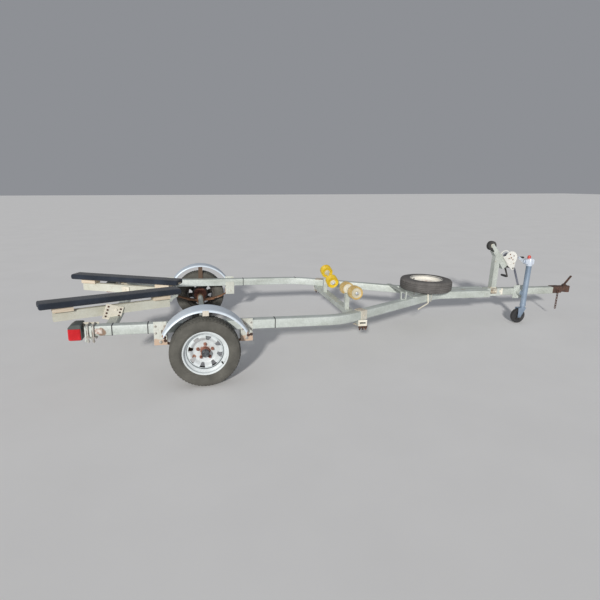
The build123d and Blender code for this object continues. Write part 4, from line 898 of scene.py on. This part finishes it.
def carpet_sheet(mesh, sign):
    reach = BUNK_HALF - CARPET_SINK
    stations = []
    for count in range(9):
        angle = pi / 2 * count / 8
        stations.append((reach - CARPET_CURL + CARPET_CURL * sin(angle), CARPET_CURL * (1 - cos(angle))))
    stations.append((reach + 0.2, CARPET_CURL + 7.5))
    straight = 44
    run = [((reach - CARPET_CURL) * (2 * step / straight - 1), 0.0) for step in range(1, straight)]
    ends = [(-along, inset) for along, inset in reversed(stations)]
    rings = []
    for along, inset in ends + run + stations:
        lumps = 0.5 * sin(along * 0.031 + sign) + 0.35 * sin(along * 0.083)
        outline = thick(carpet_section(inset, 0.7 + lumps if inset == 0 else 0.4), CARPET_T)
        rings.append([in_bunk(sign, along, across, z) for across, z in outline])
    add_loops(mesh, rings, cap="strip")


def plank_block(mesh, sign):
    inset = CARPET_T + 1.4
    half, foot, top = PLANK_HALF - inset, PLANK_FOOT + inset, PLANK_TOP - inset
    outline = rounded([(-half, foot), (half, foot), (half, top), (-half, top)], 6.0)
    ends = [end * (BUNK_HALF - 2 * inset) for end in (-1, 1)]
    add_loops(mesh, [[in_bunk(sign, along, across, z) for across, z in outline] for along in ends], cap=True)


for side, sign in SIDES:
    wrap = make("bunk_carpet_" + side, carpet, "bunk_" + side, (carpet_sheet, sign),
                replaces=("bunk_board_" + side,), slot="bunk_carpet")
    board = make("bunk_plank_" + side, timber, "bunk_" + side, (plank_block, sign), slot="timber_block")
    tacks = []
    for along in (-500, -200, -100, 0, 100, 200, 500):
        for edge in (-1, 1):
            tacks.append((lathe, TACK, in_bunk(sign, along, edge * (CARPET_FLAP + 6), PLANK_FOOT), DOWN, 8))
    make("carpet_tacks_" + side, plated, "bunk_" + side, *tacks)


# Keel rollers: a grooved amber tread on a pale hub

ROLLER_X, ROLLER_Y, ROLLER_Z = 1376.0, 355.0, 574.0
ROCKER_DROP = 44.0
ROLLER_SPREAD = 115.0
NUT_SPREAD = 166.2
# Columns: side, sign, tilt in degrees, radius of the hub's face, material of the tread
ROLLERS = (("right", -1, -3.0, 45.0, dusty_amber), ("left", 1, 17.0, 29.0, amber))
for side, sign, tilt, face_r, colour in ROLLERS:
    tilt = radians(tilt)
    axis = Vector((0, cos(tilt), sin(tilt)))
    up = Vector((0, -sin(tilt), cos(tilt)))
    middle = Vector((ROLLER_X, sign * ROLLER_Y, ROLLER_Z - ROCKER_DROP)) + up * ROCKER_DROP
    outer = [(47, -33), (53, -36), (56, -41), (60, -41.6), (62.4, -37)]
    for groove in (-24, -8, 8, 24):
        outer += [(62.7, groove - 3.6), (60.2, groove - 1.7), (60.2, groove + 1.7), (62.7, groove + 3.6)]
    outer += mirrored(outer[:5])
    half = [(face_r + 0.4, 33), (face_r - 4, 31), (22, 31), (18.5, 33), (17.5, 40), (16, 41.5), (9.3, 41.5)]
    centres = [middle + axis * end * ROLLER_SPREAD for end in (-1, 1)]
    outer = [(face_r, -32.5)] + outer + [(face_r, 32.5)]
    treads = [(lathe, outer, centre, axis, 56, True) for centre in centres]
    hubs = [(lathe, mirrored(half) + half, centre, axis, 40, True) for centre in centres]
    nuts = [(bolt, middle + axis * end * NUT_SPREAD, axis * end, "roller") for end in (-1, 1)]
    body = "roller_pair_" + side
    make("keel_rollers_" + side, colour, body, *treads, replaces=("rollers_" + side,), slot="amber_roller")
    make("roller_hubs_" + side, roller_hub, body, *hubs)
    make("roller_nuts_" + side, plated, "rocker_" + side, *nuts)


# Spare wheel: plain cream disc, five holes, two nuts on the carrier's studs

spare_cream = weathered(
    "cream_spare_wheel", ((0.74, 0.71, 0.62), (0.84, 0.82, 0.75), (0.88, 0.87, 0.82)), 0.0, (0.35, 0.5),
    ((0.42, 0.24, 0.13), 0.68, 15), 0.06, near=[spot(SPARE_X, 0, SPARE_Z + 8, 0.098)],
    near_tone=(0.36, 0.19, 0.12))
make("spare_wheel_rim", spare_cream, "frame",
     (lathe, barrel_profile(*SPARE_BARREL), SPARE, UP, 96, True),
     (disc_mesh, SPARE, UP, smooth_profile(SPARE_DISC, 2), LUGS, SPARE_WINDOW, SPARE_ACROSS),
     replaces=("spare_rim",), slot="white_wheel")
nuts = []
for sign in (-1, 1):
    turn = pi + sign * HALF_LUG
    place = (SPARE_X + LUG_CIRCLE_R * cos(turn), LUG_CIRCLE_R * sin(turn), SPARE_Z + 5.2)
    nuts.append((lathe, [(0, 0), (11.5, 0), (11.5, 13), (9.5, 15), (0, 15)], place, UP, 6))
make("spare_nuts", rusty, "frame", *nuts)
turn = radians(142)
place = (SPARE_X + 128 * cos(turn), 128 * sin(turn), SPARE_Z + 12)
make("spare_valve", black_rubber, "frame", (lathe, valve(36, 7.5, 7, 4.6, 3.8), place, UP, 14))


# Winch: a strap wound on its spool, a pale cover and a dark crank

WINCH_X, WINCH_Z = 3343.0, 821.0
WINCH = (WINCH_X, 0, WINCH_Z)
WINCH_FACE_Y = 52.0
SPOOL_END = [(8.6, 40), (59, 40), (60, 41), (60, 42.4), (59, 43.4), (8.6, 43.4)]
layers = [(20.5, -22.5), (46, -22.5)]
layers += [(45.2 + 0.8 * (step % 2), -22.5 + step * 45 / 14) for step in range(1, 14)]
layers += [(46, 22.5), (20.5, 22.5)]
make("wound_strap", webbing, "winch_drum", (lathe, layers, WINCH, LEFT, 48, True),
     replaces=("winch_drum",), slot="webbing")
make("winch_spool", plated, "winch_drum",
     (lathe, SPOOL_END, WINCH, RIGHT, 48, True),
     (lathe, SPOOL_END, WINCH, LEFT, 48, True),
     (lathe, [(8.6, -45.5), (20, -45.5), (20, 45.5), (8.6, 45.5)], WINCH, LEFT, 32, True))

# The strap leaves the spool flat, turns a quarter on the way and ends in a sewn loop on a hook
STRAP_TOP = Vector((WINCH_X + 48, 0, WINCH_Z))
STRAP_FOOT = Vector((3531.0, 0, 497.0))
STRAP_T = 2.4
STRAP_TURN = radians(74)


def strap(mesh):
    run = STRAP_FOOT - STRAP_TOP
    way = run.normalized()
    shares = [step / 2 for step in range(-2, 3)]
    outline = [(u, -1) for u in shares] + [(u, 1) for u in reversed(shares)]
    rings = []
    for step in range(25):
        share = step / 24
        half_w = 21.0 - 5.0 * min(1.0, share * 3)
        turn = STRAP_TURN * (1 - cos(pi * min(1.0, share / 0.55))) / 2
        wide = Matrix.Rotation(turn, 3, way) @ Vector(LEFT)
        thin = way.cross(wide)
        place = STRAP_TOP + run * share
        rings.append([place + wide * half_w * u + thin * STRAP_T / 2 * v for u, v in outline])
    add_loops(mesh, rings, cap=True)


make("winch_webbing", webbing, "frame", (strap,), replaces=("winch_strap",), slot="webbing")
hook = [(3531, 0, 504), (3521, 0, 497), (3520, 0, 486), (3529, 0, 478), (3541, 0, 481), (3545, 0, 490)]
make("strap_hook", dark_steel, "frame", (wire, hook, 4.2),
     (lathe, [(0, -20), (4.2, -20), (4.2, 20), (0, 20)], (3531, 0, 500), LEFT, 12))

# Bolts and gear studs on the winch sides
WINCH_BOLTS_XZ = ((3326, 858), (3376, 842), (3318, 812), (3368, 800), (3384, 760))
GEAR_STUD = [(0, 0), (8, 0), (8, 3), (6, 5), (0, 5)]
shapes = []
for sign in (-1, 1):
    outward = (0, sign, 0)
    shapes += [(bolt, (x, sign * WINCH_FACE_Y, z), outward, "winch") for x, z in WINCH_BOLTS_XZ]
    shapes.append((lathe, GEAR_STUD, (WINCH_X, sign * WINCH_FACE_Y, WINCH_Z), outward, 24))
make("winch_bolts", rusty, "frame", *shapes)
cover_rim = [(69, -3), (72.5, -3), (73.5, 0), (73.5, 3), (72, 5), (69, 5)]
make("winch_cover_rim", winch_metal, "frame",
     (lathe, cover_rim, (WINCH_X, -WINCH_FACE_Y, WINCH_Z), RIGHT, 64, True))

CRANK_L = 132.0
CRANK_TURN = radians(294.0)
CRANK_ROOT = Vector((3384.0, 86, 704.0))
crank_way = Vector((cos(CRANK_TURN), 0, sin(CRANK_TURN)))
crank_square = Vector((-sin(CRANK_TURN), 0, cos(CRANK_TURN)))
crank_tip = CRANK_ROOT + crank_way * CRANK_L
crank_back = CRANK_ROOT - Vector((0, 6, 0))
make("winch_handle", dark_steel, "winch_crank",
     (prism, arm_outline(CRANK_L, 10.5, 8.0), crank_back, crank_way, -crank_square, 5.6, 0.8),
     (lathe, [(0, -143), (7.6, -143), (7.6, 0), (0, 0)], CRANK_ROOT, LEFT, 20),
     (bolt, CRANK_ROOT, LEFT, "crank"),
     (lathe, [(0, -2), (5.5, -2), (5.5, 104), (0, 104)], crank_tip, LEFT, 16),
     replaces=("winch_crank",), slot="dark_steel")
grip = [(5.8, 6), (11, 6), (13.6, 14), (13.9, 50), (12.6, 84), (11, 97), (8.5, 101), (5.8, 101)]
make("winch_grip", black_plastic, "winch_crank", (lathe, grip, crank_tip, LEFT, 28, True))

# Bow roller: dark rubber on a paler core
BOW = (3110.8, 0, 949.3)
rubber = [(22, -23), (36, -23.8), (46, -22.5), (50, -18), (50.8, -10), (48.5, 0)]
rubber += mirrored(rubber[:-1])
core = [(8.4, -23.9), (18, -23.9), (22.4, -22), (22.4, 22), (18, 23.9), (8.4, 23.9)]
make("bow_roller_rubber", black_rubber, "bow_roller", (lathe, rubber, BOW, LEFT, 56, True),
     replaces=("bow_roller",), slot="black_rubber")
make("bow_roller_core", roller_hub, "bow_roller", (lathe, core, BOW, LEFT, 40, True))


# Jack: gear head, crank, a red cap and a plastic castor wheel

HEAD_FOOT, HEAD_TOP = 760.0, 832.0
SHAFT_Z = HEAD_FOOT + 36
JACK_CRANK_X = JACK_X - 74
JACK_CRANK = (0, 79, 30)
JACK_WHEEL = Vector((3460.0, JACK_Y, 181.6))
head = [(28.6, -14), (32.6, -14), (32.8, -2), (32.8, 54), (31, 62), (26, 68.5), (18, 71.6), (0, 71.8)]
shaft = [(0, 0), (16, 0), (16, 42), (13, 44), (13, 50), (7.8, 50), (7.8, 80), (0, 80)]
housing = [(-66, 772), (-50, 764), (34, 764), (40, 772), (40, 814), (28, 826), (-50, 822), (-66, 812)]
grip = [(0, -3), (5, -3), (5, 2), (9.5, 3), (10.8, 10), (10.8, 46), (9.5, 56), (7, 60), (0, 60)]
cap = [(0, -8), (14, -8), (17.6, -2), (17.8, 14), (15, 24), (9, 29), (0, 30)]
collar = [(28.4, 292), (29.9, 292), (30.4, 296), (30.4, 312), (29.9, 315), (28.4, 315)]
make("jack_gear_head", bright_plating, "jack",
     (lathe, head, (JACK_X, JACK_Y, HEAD_FOOT), UP, 48),
     (lathe, shaft, (JACK_X, JACK_Y, SHAFT_Z), (-1, 0, 0), 24),
     (prism, rounded(housing, 8), (JACK_X, JACK_Y + 27, 0), ALONG, UP, 54, 3.0),
     (prism, arm_outline(hypot(*JACK_CRANK), 17.0, 12.0), (JACK_CRANK_X - 6, JACK_Y, SHAFT_Z), JACK_CRANK,
      (0, -JACK_CRANK[2], JACK_CRANK[1]), 6, 0.8),
     replaces=("jack_head",), slot="plated_steel")
make("jack_grip", black_plastic, "jack",
     (lathe, grip, Vector((JACK_CRANK_X, JACK_Y, SHAFT_Z)) + Vector(JACK_CRANK), ALONG, 24))
make("jack_cap", red_plastic, "jack", (lathe, cap, (JACK_X - 14, JACK_Y, HEAD_TOP), UP, 32))
make("jack_collar", shaded_jack_metal, "jack", (lathe, collar, (JACK_X, JACK_Y, 0), UP, 48, True))
tread = [(50, -16), (66, -17), (72, -20.6), (78, -19.5), (81.2, -14), (81.9, -5)]
hub = [(8.4, -20), (18, -20), (20, -17), (22, -8), (44, -6), (50, -10)]
shapes = [(lathe, tread + mirrored(tread), JACK_WHEEL, LEFT, 56, True),
          (lathe, hub + mirrored(hub), JACK_WHEEL, LEFT, 40, True)]
for count in range(6):
    turn = 2 * pi * count / 6
    way = Vector((cos(turn), 0, sin(turn)))
    rib = [(-15, -2.5), (15, -2.5), (15, 2.5), (-15, 2.5)]
    shapes.append((prism, rib, JACK_WHEEL + way * 33 + Vector((0, 14, 0)), way, way.cross(Vector(LEFT)), 28))
make("jack_castor_wheel", black_plastic, "jack_wheel", *shapes, replaces=("jack_wheel",), slot="dark_plastic")


# Tail lamps and side markers

LAMP_REAR, LAMP_FRONT = -978.0, -888.0
LAMP_IN_Y, LAMP_OUT_Y = 711.0, 836.0
LAMP_FOOT, LAMP_TOP = 362.0, 456.0
HOOD_TOP = 486.0


def span(sign, start, stop):
    return sorted((sign * start, sign * stop))


for side, sign in SIDES:
    is_first = side == "right"
    y = span(sign, LAMP_IN_Y, LAMP_OUT_Y)
    rib_z = (LAMP_FOOT + 9, LAMP_TOP - 9)
    shapes = [(bar, (LAMP_REAR + 2.5, LAMP_FRONT), y, (LAMP_FOOT + 1, LAMP_TOP - 1), 6.0)]
    for step in range(1, 14):
        place = y[0] + step * (y[1] - y[0]) / 14
        shapes.append((bar, (LAMP_REAR + 1.2, LAMP_REAR + 4), (place - 1.2, place + 1.2), rib_z, 0.6))
    rib_y = span(sign, LAMP_OUT_Y + 1.4, LAMP_OUT_Y - 2)
    for step in range(1, 9):
        place = LAMP_REAR + 6 + step * 78 / 9
        shapes.append((bar, (place - 1.2, place + 1.2), rib_y, rib_z, 0.6))
    shapes.append((bar, (LAMP_REAR + 1.0, LAMP_REAR + 5), (y[0] + 8, y[1] - 8), (408, 411), 0.6))
    make("lamp_lens_" + side, red_lens, "frame", *shapes, slot="red_lens",
         replaces=("tail_lamps",) if is_first else ())
    outline = [(LAMP_REAR + 4, LAMP_TOP - 4), (LAMP_FRONT, LAMP_TOP - 4), (LAMP_FRONT, HOOD_TOP - 2),
               (LAMP_REAR + 34, HOOD_TOP - 2), (LAMP_REAR + 4, HOOD_TOP - 22)]
    width = LAMP_OUT_Y - LAMP_IN_Y
    origin = (0, sign * (LAMP_IN_Y + LAMP_OUT_Y + 1) / 2 + width / 2, 0)
    make("lamp_housing_" + side, lamp_grey, "frame",
         (prism, rounded(outline, 7, 2), origin, ALONG, UP, width, 2.0),
         (bar, (LAMP_FRONT, LAMP_FRONT + 4), y, (LAMP_FOOT + 2, HOOD_TOP - 4), 1.0),
         slot="dark_plastic", replaces=("lamp_brackets",) if is_first else ())
    make("lamp_arm_" + side, stained, "frame",
         (bar, (LAMP_FRONT + 4, -772), span(sign, 761.7, 757.9), (406, 482), 1.0))
    bolts = [(bolt, (-846, sign * 757.7, z), (0, -sign, 0), "lamp") for z in (412, 452)]
    make("lamp_bolts_" + side, plated, "frame", *bolts)
    make("marker_reflector_" + side, faded_marker, "frame",
         (bar, (-791, -739), span(sign, 838.4, 842.0), (411, 453), 2.0),
         (bar, (-786, -744), span(sign, 841.5, 844.2), (416, 448), 2.5),
         slot="marker_plate", replaces=("side_markers",) if is_first else ())


# Box tubes with rounded corners, open at their ends as the real ones are

def box_tube(mesh, stations, half_w, low, high, corner, wall):
    """Hollow box tube through stations of a place and its way across."""
    shells = []
    for inset, radius in ((0, corner), (wall, max(corner - wall, 1.0))):
        u, foot, top = half_w - inset, low + inset, high - inset
        outline = rounded([(-u, foot), (u, foot), (u, top), (-u, top)], radius)
        rings = []
        for place, across in stations:
            rings.append([Vector(place) + Vector(across) * u + Vector((0, 0, z)) for u, z in outline])
        shells.append(add_loops(mesh, rings))
    for end in (0, -1):
        near, far = shells[0][end], shells[1][end]
        for step in range(len(near)):
            after = (step + 1) % len(near)
            mesh.faces.new((near[step], near[after], far[after], far[step]))


def rail_path():
    """Middle line of the left rail in plan, both bends as arcs."""
    corners = [Vector(corner) for corner in (
        (RAIL_REAR_X, RAIL_Y), (RAIL_BEND_X, RAIL_Y), (NECK_X, NECK_Y), (RAIL_FRONT_X, NECK_Y))]
    places = [corners[0], Vector((-400, RAIL_Y)), Vector((300, RAIL_Y))]
    bend = atan(RAIL_SLOPE)
    for corner, radius, turn in ((corners[1], RAIL_BEND_R, 1), (corners[2], NECK_BEND_R, -1)):
        before = (corner - places[-1]).normalized()
        side = Vector((before.y, -before.x)) * turn
        middle = corner - before * radius * tan(bend / 2) + side * radius
        for step in range(9):
            angle = bend * step / 8
            places.append(middle - side * radius * cos(angle) + before * radius * sin(angle))
    return places + [corners[3]]


def side_rail(mesh, sign):
    places = rail_path()
    stations = []
    for index, place in enumerate(places):
        way = (places[min(index + 1, len(places) - 1)] - places[max(index - 1, 0)]).normalized()
        stations.append(((place.x, sign * place.y, 0), (-way.y, sign * way.x, 0)))
    box_tube(mesh, stations, RAIL_HALF, RAIL_FOOT, RAIL_TOP, 7.0, 3.0)


for side, sign in SIDES:
    make("side_rail_" + side, rail_metal, "frame", (side_rail, sign), replaces=("rail_" + side,),
         slot="galvanised_frame")
stations = [((x, 0, 0), LEFT) for x in (2540, 3000, 3500, 4060)]
make("tongue_beam", galvanised, "frame",
     (box_tube, stations, TONGUE_HALF, RAIL_FOOT, RAIL_TOP, 7.0, 4.0),
     (bar, (3502, 3562), (-14, 14), (469, 488), 2.0),
     replaces=("tongue_tube",), slot="galvanised_frame")
# Columns: name, the node it stands for, x, reach to each side, top
BEAMS = (
    ("rear_beam", "rear_cross_member", -717, 762.0, 420),
    ("middle_beam", "mid_cross_member", 1360, 732.9, 394),
)
for name, node, x, reach, top in BEAMS:
    stations = [((x, y, 0), ALONG) for y in (reach, 0, -reach)]
    make(name, galvanised, "frame", (box_tube, stations, 38.0, top - 51, top, 6.0, 3.0), replaces=(node,),
         slot="galvanised_frame")


# Hardware: U-bolts, hanger bolts, clamp bolts and tie bands

def u_bolt(mesh, x, sign, open_z, closed_z, radius, slack):
    """Square U-bolt round a rail at a place along it, with its nuts above or below."""
    slope = 0.0 if x < RAIL_BEND_X else -sign * RAIL_SLOPE
    across = Vector((-slope, 1, 0)).normalized()
    middle = Vector((x, sign * rail_y(x), 0))
    gap = RAIL_HALF + radius + slack
    bend = 9.0
    way = 1 if open_z > closed_z else -1
    half = [(gap, open_z), (gap, closed_z + way * bend), (gap - bend * 0.3, closed_z + way * bend * 0.3),
            (gap - bend, closed_z)]
    outline = [(-u, z) for u, z in half] + half[::-1]
    wire(mesh, [middle + across * u + Vector((0, 0, z)) for u, z in outline], radius)
    nut = [(0, 0), (9.5, 0), (9.5, 7.5), (8, 9), (0, 9)]
    for u in (-gap, gap):
        lathe(mesh, nut, middle + across * u + Vector((0, 0, open_z - way * 16)), (0, 0, way), 6)


REAR_CLAMPS_X = (-838, -800)
FRONT_CLAMP_X = 2314
CLAMP_NUT = [(0, 0), (9, 0), (9, 7), (7.5, 8.4), (0, 8.4)]
for side, sign in SIDES:
    outward = (0, sign, 0)
    face_y = sign * HANGER_FACE_Y
    shapes = []
    for x in REAR_CLAMPS_X:
        shapes.append((u_bolt, x, sign, RAIL_FOOT - 46, RAIL_TOP + 6, 6.0, 5.2))
        shapes.append((bar, (x - 14, x + 14), span(sign, 740, 860), (RAIL_FOOT - 8, RAIL_FOOT - 1), 1.2))
    shapes.append((u_bolt, FRONT_CLAMP_X, sign, 494, RAIL_FOOT - 6, 5.0, 0.8))
    for x in (-HANGER_X, HANGER_X):
        for z in (452, 398):
            shapes += [(bolt, (x + shift, face_y, z), outward, "hanger") for shift in (-34, 34)]
        shapes.append((bolt, (x, face_y, SPRING_EYE_Z), outward, "eye"))
    shapes += [(bolt, (FENDER_X, face_y, z), outward, "bracket") for z in (414, 450)]
    for x in (-30.8, 30.8):
        for y in (sign * RAIL_Y - 27.5, sign * RAIL_Y + 27.5):
            shapes.append((lathe, CLAMP_NUT, (x, y, 199.5), DOWN, 6))
    make("frame_hardware_" + side, hardware, "frame", *shapes)


def tie_band(mesh, sign, x):
    """Band round a rail at a place along it."""
    reach = RAIL_HALF + 1.6
    middle_z = (RAIL_FOOT + RAIL_TOP) / 2
    rings = []
    outline = rounded([(-reach, -reach), (reach, -reach), (reach, reach), (-reach, reach)], 8)
    for offset, inset in ((-3.5, 1.7), (-3.5, 0), (3.5, 0), (3.5, 1.7)):
        rings.append([(x + offset, sign * RAIL_Y + y - copysign(inset, y), middle_z + z - copysign(inset, z))
                      for y, z in outline])
    add_loops(mesh, rings)


bands = [(tie_band, sign, x) for sign, x in ((-1, -673), (-1, -419), (-1, 561), (1, 482), (1, 1097))]
make("tie_bands", black_plastic, "frame", *bands)
FOOT_BOLTS_XZ = ((-296, 334), (-300, 360), (342, 348), (366, 354))
CLIP_BOLTS_XZ = ((-854, 362), (-820, 378), (-803, 450))
# Columns: ends along x, outer y, ends along z of a strip on the rail's outer face
CLIP_STRIPS = (
    ((-861, -848), 843, (352, 468)),
    ((-829, -812), 842, (366, 476)),
    ((-861, -792), 841.5, (442, 458)),
)
for side, sign in SIDES:
    outward = (0, sign, 0)
    bolts = [(bolt, (x, sign * HANGER_FACE_Y, z), outward, "foot") for x, z in FOOT_BOLTS_XZ]
    make("foot_bolts_" + side, dark_rust, "frame", *bolts)
    shapes = [(bar, x, span(sign, RAIL_OUT_Y + 0.6, y), z, 1.2) for x, y, z in CLIP_STRIPS]
    shapes += [(bolt, (x, sign * 843, z), outward, "clip") for x, z in CLIP_BOLTS_XZ]
    make("rear_clip_" + side, galvanised, "frame", *shapes)


# Small things: beam ends, clamp nuts, the post's foot clamp, an upright fork, a hook and bunk angles

# Each row is one side of a cap, as its ends along x and its ends along z
END_CAP = (
    ((1319, 1401), (376, 396)), ((1319, 1401), (341, 362)),
    ((1319, 1333), (358, 380)), ((1387, 1401), (358, 380)),
)
caps = [(bar, x, span(sign, 733.2, 737.5), z, 1.2) for sign in (-1, 1) for x, z in END_CAP]
make("middle_beam_ends", cream_plate, "frame", *caps)
ROUND_NUT = [(6, 0), (13, 0), (14, 2), (14, 13), (12, 15), (6, 15)]
LONG_THREAD = [(0, 0), (6.5, 0), (6.5, 44), (0, 44)]
shapes = []
for sign in (-1, 1):
    for x in (1343, 1372, 1400):
        shapes.append((lathe, LONG_THREAD, (x, sign * 716, 342.5), DOWN, 12))
        shapes.append((lathe, ROUND_NUT, (x, sign * 716, 330), DOWN, 6, True))
    shapes.append((bar, (1330, 1412), span(sign, 700, 730), (333, 340), 2.0))
make("clamp_nuts", dark_rust, "frame", *shapes)
face = -TONGUE_HALF
shapes = [(bar, (3146, 3232), (face - 6, face - 0.6), (414, 476)),
          (bar, (3146, 3232), (face - 6, 30), (470.6, 476.5))]
POST_THREAD = [(0, 0), (6.5, 0), (6.5, 16), (0, 16)]
POST_NUT = [(0, 0), (11.5, 0), (11.5, 8), (10, 9.5), (0, 9.5)]
for x in (3162, 3190, 3217):
    place = (x, face + 14, 476)
    shapes += [(lathe, POST_THREAD, place, UP, 12), (lathe, POST_NUT, place, UP, 6)]
    shapes.append((bolt, (x, face - 6, 436), RIGHT, "post"))
make("post_foot_clamp", stained, "frame", *shapes)
make("post_foot_plate", cream_plate, "frame",
     (bar, (3238, 3304), (face - 5.4, face - 0.6), (402, 474)),
     (bolt, (3271, face - 5.4, 440), RIGHT, "post plate"))
prongs = []
for x, lean in ((1892, -5), (1938, 5)):
    outline = [(0, 472), (8, 472), (8 + lean, 546), (4 + lean, 551), (lean, 546)]
    prongs.append((prism, outline, (x, -354, 0), ALONG, UP, 24, 1.0))
make("upright_fork", galvanised, "frame", (bar, (1888, 1946), (-383, -351), (470.6, 475.5), 1.2), *prongs)
hook = [(2270, -223, 478), (2286, -215, 386), (2279, -219, 378), (2256, -232, 374), (2131, -300, 346)]
make("frame_hook", cream_plate, "frame", (wire, hook, 6.8))
PLATE_BOLT = [(0, -6), (5.0, -6), (5.0, 0), (8.5, 0), (8.5, 2.5), (6, 4), (0, 4)]
PLATE_LEAN = radians(20)
GUSSET = [(457.5, 488), (464, 486), (486, 512), (524, 528), (532, 549.2), (500, 549.2), (457.5, 520)]
for side, sign in SIDES:
    outward = in_bunk(sign, 0, 1, 0) - in_bunk(sign, 0, 0, 0)
    shapes = []
    for along in (-76, 24):
        for rise in (-42, -14, 14, 42):
            place = in_bunk(sign, along * cos(PLATE_LEAN) + rise * sin(PLATE_LEAN), 33.6,
                            443 + rise * cos(PLATE_LEAN) - along * sin(PLATE_LEAN))
            shapes.append((lathe, PLATE_BOLT, place, outward, 8))
    # Dark heads fill the plates' holes; their near-black tone is painted shade, as seen through the holes
    make("plate_bolts_" + side, dark_rust, "frame", *shapes)
    first = Vector((cos(BUNK_TURN), sign * sin(BUNK_TURN), 0))
    base = in_bunk(sign, 0, 52, 0) - first.cross(Vector(UP)) * 8
    make("bunk_angle_" + side, galvanised, "bunk_" + side, (prism, GUSSET, base, first, UP, 8, 0.8))


# Camera, where the photograph was taken from

FOCAL_PX = 440.0
FRAME_PX = 600.0
SENSOR = 36.0
CLIP_END = 200.0
CAMERA_AT = Vector((-72.0, -4186.0, 1509.0))
YAW, PITCH, ROLL = radians(13.978), radians(14.408), radians(1.759)
forward = Vector((sin(YAW) * cos(PITCH), cos(YAW) * cos(PITCH), -sin(PITCH)))
level_right = Vector((cos(YAW), -sin(YAW), 0))
level_up = level_right.cross(forward)
view_right = level_right * cos(ROLL) + level_up * sin(ROLL)
view_up = level_up * cos(ROLL) - level_right * sin(ROLL)
camera_data = bpy.data.cameras.new("photo_camera")
camera_data.sensor_fit = "HORIZONTAL"
camera_data.sensor_width = SENSOR
camera_data.lens = SENSOR * FOCAL_PX / FRAME_PX
camera_data.clip_end = CLIP_END
camera = bpy.data.objects.new("photo_camera", camera_data)
scene.collection.objects.link(camera)
facing = Matrix((view_right, view_up, -forward)).transposed().to_4x4()
camera.matrix_world = LEAN @ Matrix.Translation(CAMERA_AT * MM) @ facing
scene.camera = camera


# Floor, a pale sky and a low sun from behind the camera's left shoulder

FLOOR_REACH = 60.0
SKY = (0.90, 0.93, 1.0, 1)
SKY_STRENGTH = 0.30
SUN_STRENGTH = 2.8
SUN_COLOUR = (1.0, 0.97, 0.92)
SUN_ANGLE = radians(4)
SUN_FROM = Vector((-0.39, -0.91, 0.38))
floor_paint = Paint("pale_floor")
floor_tone = floor_paint.grey(floor_paint.noise(1.5, 3.0), 0.80, 0.83)
floor_data = bpy.data.meshes.new("studio_floor")
corners = [(FLOOR_REACH * x, FLOOR_REACH * y, 0) for x, y in ((-1, -1), (1, -1), (1, 1), (-1, 1))]
floor_data.from_pydata(corners, [], [(0, 1, 2, 3)])
floor_data.materials.append(floor_paint.finish(floor_tone, 0.9))
floor = bpy.data.objects.new("studio_floor", floor_data)
scene.collection.objects.link(floor)

world = bpy.data.worlds.new("studio_world")
scene.world = world
world.use_nodes = True
background = world.node_tree.nodes["Background"]
background.inputs["Color"].default_value = SKY
background.inputs["Strength"].default_value = SKY_STRENGTH
sun_data = bpy.data.lights.new("key_lamp", "SUN")
sun_data.energy = SUN_STRENGTH
sun_data.color = SUN_COLOUR
sun_data.angle = SUN_ANGLE
sun = bpy.data.objects.new("key_lamp", sun_data)
scene.collection.objects.link(sun)
sun.rotation_euler = SUN_FROM.to_track_quat("Z", "Y").to_euler()
scene.view_settings.view_transform = "Standard"
